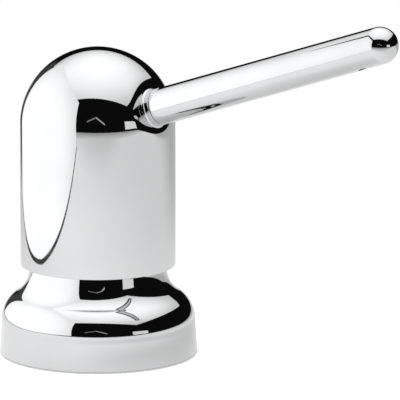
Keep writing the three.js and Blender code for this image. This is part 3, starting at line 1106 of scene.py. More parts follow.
@dataclass
class DeckClamp:
    """What pulls the dispenser down from under the worktop: two washers and a nut."""

    shank_radius: float
    flat: float = 19.0 * MM
    chamfer: float = 1.9 * MM
    chamfer_slope: float = 1.6
    pitch: float = 2.0 * MM
    body: Body = Body.BASE

    def build(self) -> None:
        """Builds the washers and the nut."""
        bore = self.shank_radius + 0.4 * MM
        rubber = turned("rubber_washer", ring(Span.of("deck_rubber_washer"), bore, 0.5 * MM), 144)
        fit(rubber, self.body, "deck_rubber_washer", RUBBER)
        plate = turned("steel_washer", ring(Span.of("deck_steel_washer"), bore, 0.3 * MM), 144)
        fit(plate, self.body, "deck_steel_washer", STEEL)
        fit(self.nut(), self.body, "mounting_nut", BRASS)

    def hexagon(self, points: Grid) -> Grid:
        """Turns the outer wall into six flats with chamfered corners.

        At angle a the flat's radius is the half width over the cosine of the angle to the nearest
        flat's middle. The chamfer is a cone that limits the radius near both faces.

        Args:
            points: the nut's turned grid.

        Returns:
            The grid with flats.
        """
        lowest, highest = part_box("mounting_nut")
        corner = self.flat / math.cos(math.pi / 6)
        angle = np.arctan2(points[..., 1], points[..., 0])
        radius = np.hypot(points[..., 0], points[..., 1])
        sector = np.mod(angle + np.pi / 6, np.pi / 3) - np.pi / 6
        flats = self.flat / np.cos(sector)
        depth = np.minimum(points[..., 2] - lowest.z, highest.z - points[..., 2])
        cone = corner - self.chamfer + depth * self.chamfer_slope
        outer = radius > corner - 0.5 * MM
        wanted = np.where(outer, np.minimum(np.minimum(flats, cone), radius), radius)
        return scaled_radius(points, wanted / np.maximum(radius, 1e-9))

    def nut(self) -> bpy.types.Object:
        """The hexagonal nut, threaded inside.

        Returns:
            The object.
        """
        lowest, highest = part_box("mounting_nut")
        corner = self.flat / math.cos(math.pi / 6)
        bore = self.shank_radius + 0.15 * MM
        face = corner - self.chamfer
        row = self.pitch / 9
        depth = 0.6 * MM
        corners = [
            (bore + depth, lowest.z, 0.1 * MM),
            (face, lowest.z, 0.0),
            *rows_between(corner, lowest.z, highest.z, 0.4 * MM),
            (face, highest.z, 0.0),
            (bore + depth, highest.z, 0.1 * MM),
            *rows_between(bore, highest.z - depth, lowest.z + depth, row),
        ]
        cut = Thread(lowest.z, highest.z, self.pitch, depth, inner=True, radius=bore)
        line = outline(corners)
        return turned("hexagon_nut", line, 240, reshape=lambda grid: cut(self.hexagon(grid)))


@dataclass
class Bottle:
    """The blown bottle under the worktop, screwed onto the shank."""

    shank_radius: float
    wall: float = 1.4 * MM
    heel: float = 6.0 * MM
    shoulder: float = 14.4 * MM
    neck: float = 16.3 * MM
    flute: float = 0.55 * MM
    line_width: float = 0.35 * MM
    line_height: float = 0.1 * MM
    body: Body = Body.BASE

    def blown(self, points: Grid) -> Grid:
        """Adds what blowing leaves: eight shallow grip flutes and a faint parting line.

        Each flute lowers the radius by its depth times the square of a cosine of four times the
        angle, over the middle of the body. The parting line stands out at two opposite angles.

        Args:
            points: the bottle's turned grid.

        Returns:
            The changed grid.
        """
        radius = np.hypot(points[..., 0], points[..., 1])
        angle = np.arctan2(points[..., 1], points[..., 0])
        span = Span.of("reservoir_bottle")
        height = (points[..., 2] - span.low) / span.height
        flute_foot, flute_head, fade = 0.16, 0.62, 14
        above_heel = np.clip((height - flute_foot) * fade, 0, 1)
        below_shoulder = np.clip((flute_head - height) * fade, 0, 1)
        body = (radius > span.radius - 2.2 * MM) * above_heel * below_shoulder
        smooth = body * body * (3 - 2 * body)
        flute = np.cos(4 * angle) ** 8 * self.flute * smooth
        off_neck = radius > self.neck + 0.4 * MM
        line = np.exp(-((np.sin(angle) * radius / self.line_width) ** 2))
        change = (line - 1) * self.line_height * off_neck - flute
        return scaled_radius(points, 1 + change / np.maximum(radius, 1e-6))

    def build(self) -> None:
        """Builds the bottle with its threaded neck and neck bead."""
        span = Span.of("reservoir_bottle")
        bore = self.shank_radius + 0.3 * MM
        shoulder_z = -60.5 * MM
        wide_z = shoulder_z - self.shoulder + 0.4 * MM
        inner = span.radius - self.wall
        floor = span.low + self.wall
        push_up = 2.2 * MM
        inner_heel = self.heel - self.wall
        corners = [
            (0.0, floor + push_up, 0.0),
            (inner - self.heel - 4 * MM, floor + push_up, 2 * MM),
            *arc((inner - inner_heel, floor + inner_heel), inner_heel, -90, 0, 12),
            *rows_between(inner, floor + self.heel + 1 * MM, wide_z - 1 * MM, 2.0 * MM),
            *arc((inner - 14 * MM, wide_z), 14 * MM, 0, 70, 20),
            (bore, shoulder_z - 0.2 * MM, 0.8 * MM),
            *rows_between(bore, shoulder_z + 2.5 * MM, span.high - 1 * MM, 0.25 * MM),
            (bore, span.high, 0.3 * MM),
            (self.neck, span.high, 0.4 * MM),
            (self.neck, span.high - 5 * MM, 0.3 * MM),
            (self.neck - 0.9 * MM, span.high - 5.6 * MM, 0.3 * MM),
            (self.neck - 0.9 * MM, shoulder_z + 5.2 * MM, 0.3 * MM),
            (self.neck, shoulder_z + 4.4 * MM, 0.3 * MM),
            (self.neck, shoulder_z + 1.6 * MM, 1.0 * MM),
            *arc((span.radius - self.shoulder, wide_z), self.shoulder, 75, 0, 24),
            *rows_between(span.radius, wide_z - 1 * MM, span.low + self.heel + 1 * MM, 1.2 * MM),
            *arc((span.radius - self.heel, span.low + self.heel), self.heel, 0, -90, 14),
            (inner - self.heel - 4 * MM, span.low + push_up, 2 * MM),
            (0.0, span.low + push_up, 0.0),
        ]
        cut = Thread(shoulder_z, span.high, 2 * MM, 0.5 * MM, inner=True, radius=bore)
        line = outline(corners, closes=False)

        def shaped(grid: Grid) -> Grid:
            """The flutes and the parting line, then the thread."""
            return cut(self.blown(grid))

        bottle = turned("soap_bottle", line, 192, closes=False, reshape=shaped)
        fit(bottle, self.body, "reservoir_bottle", MILKY)


# ---------------------------------------------------------------------------------- pump


@dataclass
class Spring:
    """The return spring: round wire on a helix whose end turns lie flat."""

    radius: float = 5.7 * MM
    wire: float = 0.5 * MM
    turns: float = 8.0
    stroke: float = 4.5 * MM

    def build(self) -> None:
        """Carries a circle along the helix and closes both ends.

        The wire's centre at t lies at (r cos 2 pi n t, r sin 2 pi n t, z(t)). The height z rises
        slowly over the first and last turn and evenly between. Each circle stands in the plane of
        the radius and of the upright crossed with the path.
        """
        span = Span.of("return_spring")
        low, high = span.low + self.wire, span.high - self.wire
        steps_per_turn, sides = 40, 14
        along = np.linspace(0.0, 1.0, int(self.turns * steps_per_turn) + 1)
        angle = 2 * np.pi * self.turns * along
        turn = along * self.turns
        lead = 2.1 * self.wire
        rise = np.clip(turn - 1, 0, self.turns - 2) / (self.turns - 2)
        closing = np.clip(turn, 0, 1) + np.clip(turn - (self.turns - 1), 0, 1)
        height = low + closing * lead + rise * (high - low - 2 * lead)
        outward = np.stack([np.cos(angle), np.sin(angle), np.zeros_like(angle)], axis=-1)
        upright = np.array([0.0, 0.0, 1.0])
        centre = outward * self.radius + height[:, None] * upright
        around = np.linspace(0, 2 * np.pi, sides, endpoint=False)
        sideways = np.cos(around)[None, :, None] * outward[:, None, :]
        section = sideways + np.sin(around)[None, :, None] * upright
        points = centre[:, None, :] + self.wire * section
        tip = np.repeat(points[:1].mean(axis=1, keepdims=True), len(around), axis=1)
        end = np.repeat(points[-1:].mean(axis=1, keepdims=True), len(around), axis=1)
        spring = surface("coil_spring", np.concatenate([tip, points, end]), rows_close=False)
        fit(spring, Body.CARTRIDGE, "return_spring", STEEL)
        keep = 1 - self.stroke / span.height
        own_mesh(spring)


@dataclass
class Cartridge:
    """The loose pump that is lifted out of the shank to fill the bottle."""

    barrel: float = 10.0 * MM
    bore: float = 8.4 * MM
    land: float = 10.9 * MM
    socket: float = 5.2 * MM
    tube_radius: float = 3.0 * MM
    tube_bore: float = 2.1 * MM
    stem: float = 4.0 * MM
    flange_thickness: float = 2.5 * MM
    neck_height: float = 4.8 * MM
    throat: float = 1.6 * MM
    ring_radius: float = 10.6 * MM
    ring_section: float = 0.44 * MM
    slant_length: float = 8.0 * MM
    slant: float = 0.55
    body: Body = Body.CARTRIDGE

    def build(self) -> None:
        """Builds the housing, its seals, collar, cage, tube and spring."""
        fit(self.housing(), self.body, "pump_housing", WHITE)
        fit(self.flange_seal(), self.body, "flange_seal", RUBBER)
        groove = Span.of("barrel_o_ring")
        o_ring = torus("barrel_ring", self.ring_radius, self.ring_section, groove.middle)
        fit(o_ring, self.body, "barrel_o_ring", RUBBER)
        fit(self.collar(), self.body, "pump_collar", GREY)
        fit(self.wiper(), self.body, "stem_wiper", RUBBER)
        fit(self.cage(), self.body, "ball_cage", WHITE)
        fit(self.dip_tube(), self.body, "dip_tube", HOSE)
        Spring().build()

    def housing(self) -> bpy.types.Object:
        """The barrel with its flange, the seat of the suction ball and the dip-tube socket.

        Returns:
            The object.
        """
        span = Span.of("pump_housing")
        groove = Span.of("barrel_o_ring").middle
        flange_top = span.high - self.neck_height
        flange = flange_top - self.flange_thickness
        cage = Span.of("ball_cage").low - 0.3 * MM
        room = 3.1 * MM
        seat = 4.5 * MM
        tube = self.tube_radius + 0.3 * MM
        thread = self.barrel + 0.6 * MM
        corners = [
            (tube, span.low, 0.3 * MM),
            (self.socket, span.low, 0.5 * MM),
            (self.socket, 0.5 * MM, 1.5 * MM),
            (self.barrel, 4.5 * MM, 1.5 * MM),
            (self.barrel, groove - 1.9 * MM),
            (self.land, groove - 1.6 * MM),
            (self.land, groove - 0.7 * MM),
            (self.barrel, groove - 0.7 * MM),
            (self.barrel, groove + 0.7 * MM),
            (self.land, groove + 0.7 * MM),
            (self.land, flange),
            (span.radius, flange, 0.4 * MM),
            (span.radius, flange_top, 0.6 * MM),
            (thread, flange_top),
            *rows_between(thread, flange_top + 0.4 * MM, span.high - 0.4 * MM, 0.2 * MM),
            (thread, span.high),
            (self.bore, span.high, 0.4 * MM),
            (self.bore, cage),
            (room, cage),
            (room, seat),
            (self.throat, seat - (room - self.throat)),
            (self.throat, 1 * MM),
            (tube, 1 * MM),
        ]
        cut = Thread(flange_top, span.high, 1.4 * MM, 0.45 * MM, radius=thread, reach=0.3 * MM)
        return turned("pump_barrel", outline(corners), 112, reshape=cut)

    def flange_seal(self) -> bpy.types.Object:
        """The ring between the housing's flange and the shank's, with a bead on each face.

        Returns:
            The object.
        """
        span = Span.of("flange_seal")
        bore = 11.8 * MM
        middle = (bore + span.radius) / 2
        bead = 0.22 * MM
        low, high = span.low + bead, span.high - bead
        corners = [
            (bore, low),
            (middle - 0.9 * MM, low),
            (middle, span.low, 0.3 * MM),
            (middle + 0.9 * MM, low),
            (span.radius, low),
            (span.radius, high),
            (middle + 0.9 * MM, high),
            (middle, span.high, 0.3 * MM),
            (middle - 0.9 * MM, high),
            (bore, high),
        ]
        return turned("beaded_seal", outline(corners, 0.12 * MM), 144)

    def collar(self) -> bpy.types.Object:
        """The screwed cap with forty-eight grip ribs; it guides the stem and stops the piston.

        Returns:
            The object.
        """
        span = Span.of("pump_collar")
        plate = Span.of("pump_housing").high + 0.3 * MM
        stop = Span.of("pump_housing").high - 2 * MM
        thread = self.barrel + 0.9 * MM
        hole = self.stem + 0.2 * MM
        seat = 5.9 * MM
        corners = [
            (thread, span.low, 0.2 * MM),
            (span.radius, span.low, 0.3 * MM),
            *rows_between(span.radius, span.low + 0.6 * MM, span.high - 1.4 * MM, 0.5 * MM),
            (span.radius, span.high - 0.8 * MM, 0.5 * MM),
            (span.radius - 0.8 * MM, span.high, 0.5 * MM),
            (seat, span.high),
            (seat, span.high - 1.5 * MM),
            (hole, span.high - 1.5 * MM),
            (hole, stop),
            (self.bore - 0.3 * MM, stop),
            (self.bore - 0.3 * MM, plate),
            (thread, plate),
        ]

        def ribbed(points: Grid) -> Grid:
            """Sinks the outer wall between the ribs by a rounded wave of the angle.

            Args:
                points: the collar's turned grid.

            Returns:
                The ribbed grid.
            """
            radius = np.hypot(points[..., 0], points[..., 1])
            angle = np.arctan2(points[..., 1], points[..., 0])
            outer = np.clip((radius - (span.radius - 0.3 * MM)) / (0.25 * MM), 0, 1)
            dip = 0.35 * MM * (0.5 - 0.5 * np.cos(48 * angle)) ** 1.5 * outer
            return scaled_radius(points, 1 - dip / np.maximum(radius, 1e-9))

        return turned("ribbed_collar", outline(corners), 384, reshape=ribbed)

    def wiper(self) -> bpy.types.Object:
        """The small lip ring on the stem.

        Returns:
            The object.
        """
        span = Span.of("stem_wiper")
        bore = self.stem + 0.1 * MM
        corners = [
            (bore + 0.5 * MM, span.low),
            (span.radius, span.low),
            (span.radius, span.high),
            (bore + 0.3 * MM, span.high),
            (bore, span.high - 0.25 * MM),
            (bore + 0.3 * MM, span.middle),
        ]
        return turned("wiper_ring", outline(corners, 0.1 * MM), 96)

    def cage(self) -> bpy.types.Object:
        """The disc over the suction ball, with a pocket, four slots and a boss for the spring.

        Returns:
            The object.
        """
        span = Span.of("ball_cage")
        plate = span.low + 2.5 * MM
        boss = 4.8 * MM
        pocket = 2.9 * MM
        corners = [
            (0.0, span.low, 0.0),
            (span.radius, span.low),
            (span.radius, plate),
            (boss, plate),
            (boss - 0.5 * MM, span.high, 0.3 * MM),
            (0.0, span.high, 0.0),
        ]
        blank = turned("slotted_cage", outline(corners, closes=False), 96, closes=False)
        low, high, pocket_top = span.low - 1 * MM, span.high + 1 * MM, span.low + 1.3 * MM
        hole = [(0.0, low), (pocket, low), (pocket, pocket_top), (0.0, pocket_top)]
        tools = [turned("pocket", outline(hole, 0.0, closes=False), 64, closes=False)]
        reach, half = 4.1 * MM, 0.85 * MM
        for turn in (0.0, 90.0):
            tools.append(block("slot", (-reach, -half, low), (reach, half, high), turn))
        return carve(blank, *tools)

    def dip_tube(self) -> bpy.types.Object:
        """The tube down into the bottle, cut slanting at its lower end.

        Returns:
            The object.
        """
        span = Span.of("dip_tube")
        corners = [
            (self.tube_bore, span.low, 0.12 * MM),
            (self.tube_radius, span.low, 0.12 * MM),
            *rows_between(self.tube_radius, span.low + 1 * MM, span.high - 1 * MM, 6 * MM),
            (self.tube_radius, span.high, 0.15 * MM),
            (self.tube_bore, span.high, 0.15 * MM),
            *rows_between(self.tube_bore, span.high - 1 * MM, span.low + 1 * MM, 6 * MM),
        ]

        def slanted(points: Grid) -> Grid:
            """Lifts the lowest stretch in proportion to the distance from one side.

            Args:
                points: the tube's turned grid.

            Returns:
                The slanted grid.
            """
            moved = points.copy()
            near_end = np.clip(1 - (points[..., 2] - span.low) / self.slant_length, 0, 1)
            moved[..., 2] += near_end * (points[..., 0] + self.tube_radius) * self.slant
            return moved

        return turned("suction_tube", outline(corners), 64, reshape=slanted)


@dataclass
class Plunger:
    """What the head pushes down: stem, piston, seal and the discharge valve's seat."""

    stem: float = 4.0 * MM
    bore: float = 2.2 * MM
    flange: float = 1.3 * MM
    shoulder_radius: float = 6.0 * MM
    shoulder: float = 1.4 * MM
    body: Body = Body.PLUNGER

    def build(self) -> None:
        """Builds the stem, piston, seal, valve seat, cage and washer."""
        fit(self.pump_stem(), self.body, "pump_stem", WHITE)
        fit(self.piston(), self.body, "piston", GREY)
        fit(self.seal(), self.body, "piston_seal", RUBBER)
        fit(self.seat(), self.body, "discharge_seat", GREY)
        fit(self.cage(), self.body, "discharge_cage", WHITE)
        flat_ring = ring(Span.of("swivel_washer"), self.stem + 0.3 * MM, 0.12 * MM)
        washer = turned("glide_washer", flat_ring, 96)
        fit(washer, self.body, "swivel_washer", GREY)

    def pump_stem(self) -> bpy.types.Object:
        """The hollow stem, with the flange under the piston and the shoulder under the head.

        Returns:
            The object.
        """
        span = Span.of("pump_stem")
        flange = Span.of("piston").low - 0.3 * MM
        shoulder = Span.of("swivel_washer").low - 0.3 * MM
        corners = [
            (self.bore, span.low, 0.2 * MM),
            (self.stem, span.low, 0.4 * MM),
            (self.stem, flange - self.flange, 0.2 * MM),
            (span.radius, flange - self.flange),
            (span.radius, flange),
            (self.stem, flange),
            (self.stem, shoulder - self.shoulder, 0.3 * MM),
            (self.shoulder_radius, shoulder - self.shoulder, 0.3 * MM),
            (self.shoulder_radius, shoulder),
            (self.stem, shoulder),
            (self.stem, span.high, 0.3 * MM),
            (self.bore, span.high, 0.2 * MM),
        ]
        return turned("stem_tube", outline(corners), 96)

    def piston(self) -> bpy.types.Object:
        """The spool on the stem, with a groove for the lip seal.

        Returns:
            The object.
        """
        span = Span.of("piston")
        land = (span.height - 2.9 * MM) / 2
        bore = self.stem + 0.3 * MM
        floor = 6.6 * MM
        corners = [
            (bore, span.low),
            (span.radius, span.low),
            (span.radius, span.low + land),
            (floor, span.low + land),
            (floor, span.high - land),
            (span.radius, span.high - land),
            (span.radius, span.high),
            (bore, span.high),
        ]
        return turned("piston_spool", outline(corners, 0.2 * MM), 96)

    def seal(self) -> bpy.types.Object:
        """The lip seal, with a thin edge above and below its waist.

        Returns:
            The object.
        """
        span = Span.of("piston_seal")
        bore = 6.9 * MM
        corners = [
            (bore, span.low),
            (span.radius - 0.35 * MM, span.low),
            (span.radius, span.low + 0.2 * MM),
            (span.radius - 0.5 * MM, span.middle, 0.4 * MM),
            (span.radius, span.high - 0.2 * MM),
            (span.radius - 0.35 * MM, span.high),
            (bore, span.high),
        ]
        return turned("lip_seal", outline(corners, 0.1 * MM), 112)

    def seat(self) -> bpy.types.Object:
        """The coned cup for the discharge ball, with a spigot down the stem.

        Returns:
            The object.
        """
        span = Span.of("discharge_seat")
        flange = Span.of("pump_stem").high + 0.3 * MM
        hole = 0.9 * MM
        cup = 2.4 * MM
        cone = flange + 0.6 * MM
        corners = [
            (hole, span.low),
            (self.bore - 0.3 * MM, span.low),
            (self.bore - 0.3 * MM, flange),
            (span.radius, flange),
            (span.radius, span.high),
            (cup, span.high),
            (cup, cone + cup - hole),
            (hole, cone),
        ]
        return turned("valve_cup", outline(corners, 0.15 * MM), 96)

    def cage(self) -> bpy.types.Object:
        """The ring with a crossbar that keeps the discharge ball in its cup.

        Returns:
            The object.
        """
        span = Span.of("discharge_cage")
        blank = turned("valve_cage", ring(span, 2.7 * MM, 0.15 * MM), 96)
        reach, half = 3.3 * MM, 0.6 * MM
        low, high = span.low + 0.9 * MM, span.high - 0.05 * MM
        bar = block("bar", (-reach, -half, low), (reach, half, high))
        return carve(blank, bar, operation="UNION")


@dataclass
class ValveBalls:
    """The two loose balls that let the soap go one way."""

    def build(self) -> None:
        """Builds both balls."""
        for body, node, name in (
            (Body.SUCTION_VALVE, "suction_ball", "lower_ball"),
            (Body.DISCHARGE_VALVE, "discharge_ball", "upper_ball"),
        ):
            span = Span.of(node)
            fit(sphere(name, span.height / 2, span.middle), body, node, STEEL)


# ---------------------------------------------------------------------------------- head


@dataclass
class SpoutAxis:
    """The line of the spout, from the dome's centre outwards and upwards."""

    centre: float = DOME_CENTRE
    rise: float = 19.0

    @property
    def turn(self) -> Grid:
        """The matrix that takes the Z axis to the spout's line and X to the way down from it.

        Returns:
            The matrix, whose columns are the three new axes.
        """
        slope = math.radians(self.rise)
        along = np.array([math.cos(slope), 0.0, math.sin(slope)])
        down = np.array([math.sin(slope), 0.0, -math.cos(slope)])
        side = np.cross(along, down)
        return np.stack([down, side, along], axis=1)

    def lay(self, points: Grid) -> Grid:
        """Takes points made along Z to the spout's line.

        Args:
            points: positions, with Z as the distance from the dome's centre.

        Returns:
            Positions in the frame.
        """
        return points @ self.turn.T + np.array([0.0, 0.0, self.centre])


@dataclass
class Head:
    """The chrome head with what is inside it."""

    axis: SpoutAxis
    wall: float = 1.2 * MM
    boss: float = 4.7 * MM
    flare: float = 0.6 * MM
    bore: float = 4.3 * MM
    boss_end: float = 20.5 * MM
    dish_depth: float = 0.45 * MM
    dish_width: float = 3.8 * MM
    lip: float = 0.25 * MM
    bevel: float = 2.3 * MM
    columns: int = 288
    hub: float = 9.0 * MM
    socket: float = 7.0 * MM
    socket_end: float = 17.0 * MM
    stem_room: float = 4.35 * MM
    gland_room: float = 6.2 * MM
    gland_bore: float = 4.3 * MM
    seal_radius: float = 5.1 * MM
    seal_section: float = 0.79 * MM
    barb: float = 1.45 * MM
    duct: float = 0.9 * MM
    body: Body = Body.HEAD

    def build(self) -> None:
        """Builds the shell, the hub and its seals."""
        fit(self.shell(), self.body, "head_shell", CHROME)
        fit(self.hub_block(), self.body, "head_hub", WHITE)
        height = Span.of("hub_o_ring").middle
        seal = torus("stem_ring", self.seal_radius, self.seal_section, height)
        fit(seal, self.body, "hub_o_ring", RUBBER)
        plate = ring(Span.of("gland_washer"), self.gland_bore, 0.12 * MM)
        gland = turned("gland_plate", plate, 96)
        fit(gland, self.body, "gland_washer", STEEL)

    def shell(self) -> bpy.types.Object:
        """The head's shell, as one closed grid.

        Each column leaves the spout's hole along the boss, crosses the dome on a great circle
        through the spout's line, goes down the skirt, round its lip, and back up inside to the
        hole. On the dome the point at distance p from the spout's line, turned by w about it, is
        the dome's centre plus r (cos p A + sin p (cos w U + sin w S)), with A along the spout, U
        square to it upwards and S sideways. The great circle meets the skirt's top where its
        height is zero, which gives p = atan2(-tan rise, cos w). Columns are spaced so that both
        the turn about the spout and the turn about the head's own axis take small steps.

        Returns:
            The object.
        """
        span = Span.of("head_shell")
        radius = span.radius
        inner = radius - self.wall
        slope = math.radians(self.axis.rise)
        fine = np.linspace(-np.pi, np.pi, 20001)
        about_spout = np.unwrap(np.arctan2(np.sin(fine), -np.cos(fine) * math.sin(slope)))
        measure = (fine - fine[0] - about_spout + about_spout[0]) / 2
        even = np.linspace(0, measure[-1], self.columns, endpoint=False)
        azimuth = np.interp(even, measure, fine)
        turn = np.interp(even, measure, about_spout)
        foot = math.asin((self.boss + self.flare) / (radius + self.flare))
        equator = np.arctan2(-math.tan(slope), np.cos(turn))
        equator = np.where(equator < 0, equator + np.pi, equator)
        along = np.array([math.cos(slope), 0.0, math.sin(slope)])
        upward = np.array([-math.sin(slope), 0.0, math.cos(slope)])
        side = np.array([0.0, 1.0, 0.0])
        around = np.cos(turn)[:, None] * upward + np.sin(turn)[:, None] * side
        centre = np.array([0.0, 0.0, self.axis.centre])

        def boss_rows(line: Grid) -> Grid:
            """Rows about the spout's line, from (offset, distance) points."""
            return centre + line[:, 1][:, None, None] * along + line[:, 0][:, None, None] * around

        def dome_rows(size: float, start: float, steps: int) -> Grid:
            """Rows on a sphere, from a circle about the spout's line down to the equator.

            Args:
                size: the sphere's radius.
                start: the circle's angle from the spout's line.
                steps: how many rows are made.

            Returns:
                The rows, which lie closer together near the circle.
            """
            share = np.linspace(0, 1, steps)[:, None] ** 1.15
            reach = start + share * (equator - start)
            way = np.cos(reach)[..., None] * along + np.sin(reach)[..., None] * around
            return centre + size * way

        def dished(grid: Grid) -> Grid:
            """Sinks the dome round the boss by the depth times (1 - gap / width)^2.

            Args:
                grid: rows of the dome, the flare or the skirt.

            Returns:
                The sunk rows.
            """
            along_spout = (grid - centre) @ along
            offset = np.linalg.norm(grid - centre - along_spout[..., None] * along, axis=-1)
            gap = np.clip((offset - radius * math.sin(foot)) / self.dish_width, 0, 1)
            depth = self.dish_depth * (1 - gap) ** 2 * (along_spout > 0)
            return grid - depth[..., None] * along

        def skirt_rows(line: Grid) -> Grid:
            """Rows about the head's own axis.

            Args:
                line: (radius, height) points.

            Returns:
                The rows.
            """
            flat = np.stack([np.cos(azimuth), np.sin(azimuth), np.zeros_like(azimuth)], axis=-1)
            upright = np.array([0.0, 0.0, 1.0])
            return line[:, 0][:, None, None] * flat + line[:, 1][:, None, None] * upright

        flare_centre = (self.boss + self.flare, (radius + self.flare) * math.cos(foot))
        flare = np.array(arc(flare_centre, self.flare, 180, 270 - math.degrees(foot), 18))[:, :2]
        inner_foot = math.asin(self.bore / inner)
        mouth = outline(
            [
                (self.bore, inner * math.cos(inner_foot), 0.0),
                (self.bore, self.boss_end, 0.1 * MM),
                (self.boss, self.boss_end, 0.1 * MM),
                (self.boss, flare_centre[1], 0.0),
            ],
            closes=False,
        )
        top = self.axis.centre
        skirt = outline(
            [
                *rows_between(radius, top - 0.4 * MM, top - 8 * MM, 0.4 * MM),
                *rows_between(radius, top - 10 * MM, span.low + 2 * MM, 3 * MM),
                (radius, span.low, 0.22 * MM),
                (radius - self.lip, span.low, 0.1 * MM),
                (inner, span.low + self.bevel, 0.3 * MM),
                (inner, top - 0.6 * MM, 0.0),
            ],
            closes=False,
        )
        points = np.concatenate(
            [
                boss_rows(mouth[:-1]),
                dished(boss_rows(flare[:-1])),
                dished(dome_rows(radius, foot, 84)),
                dished(skirt_rows(skirt[:-3])),
                skirt_rows(skirt[-3:]),
                dome_rows(inner, inner_foot, 40)[::-1][:-1],
            ]
        )
        return surface("head_dome", points)

    def hub_block(self) -> bpy.types.Object:
        """The moulded block in the dome: body, ribs and socket, hollowed for stem and soap.

        Returns:
            The object.
        """
        span = Span.of("head_hub")
        limit = Span.of("head_shell").radius - self.wall - 0.4 * MM
        middle = self.axis.centre

        def bar(
            name: str, radius: float, low: float, high: float, reshape: Optional[Reshape] = None
        ) -> bpy.types.Object:
            """A round bar along Z, or along the spout."""
            return turned(name, rod(radius, low, high), 96, closes=False, reshape=reshape)

        under = span.low - 1 * MM
        line = rod(self.hub, span.low, middle + self.hub, 0.4 * MM, 1.0 * MM)
        body = turned("hub_block", line, 96, closes=False)
        rib_low, rib_high, half = span.low + 3 * MM, span.low + 15 * MM, 1 * MM
        ribs = [
            block("rib", (-limit, -half, rib_low), (limit, half, rib_high), turn)
            for turn in (30.0, 90.0, 150.0)
        ]
        socket = bar("socket", self.socket, 0.0, self.socket_end, self.axis.lay)
        carve(body, socket, *ribs, operation="UNION")
        skin = [(0.0, under, 0.0), (limit, under, 0.0), *arc((0.0, middle), limit, 0, 90, 32)]
        room = turned("limit", outline(skin, closes=False), 128, closes=False)
        carve(body, room, operation="INTERSECT")
        carve(
            body,
            bar("stem_room", self.stem_room, under, middle + 3 * MM),
            bar("gland", self.gland_room, under, span.low + 3 * MM),
            bar("spigot_room", self.bore, 8.3 * MM, 25 * MM, self.axis.lay),
        )
        barb = bar("barb", self.barb, 6.6 * MM, 12.6 * MM, self.axis.lay)
        carve(body, barb, operation="UNION")
        return carve(body, bar("duct", self.duct, 3 * MM, 20 * MM, self.axis.lay))


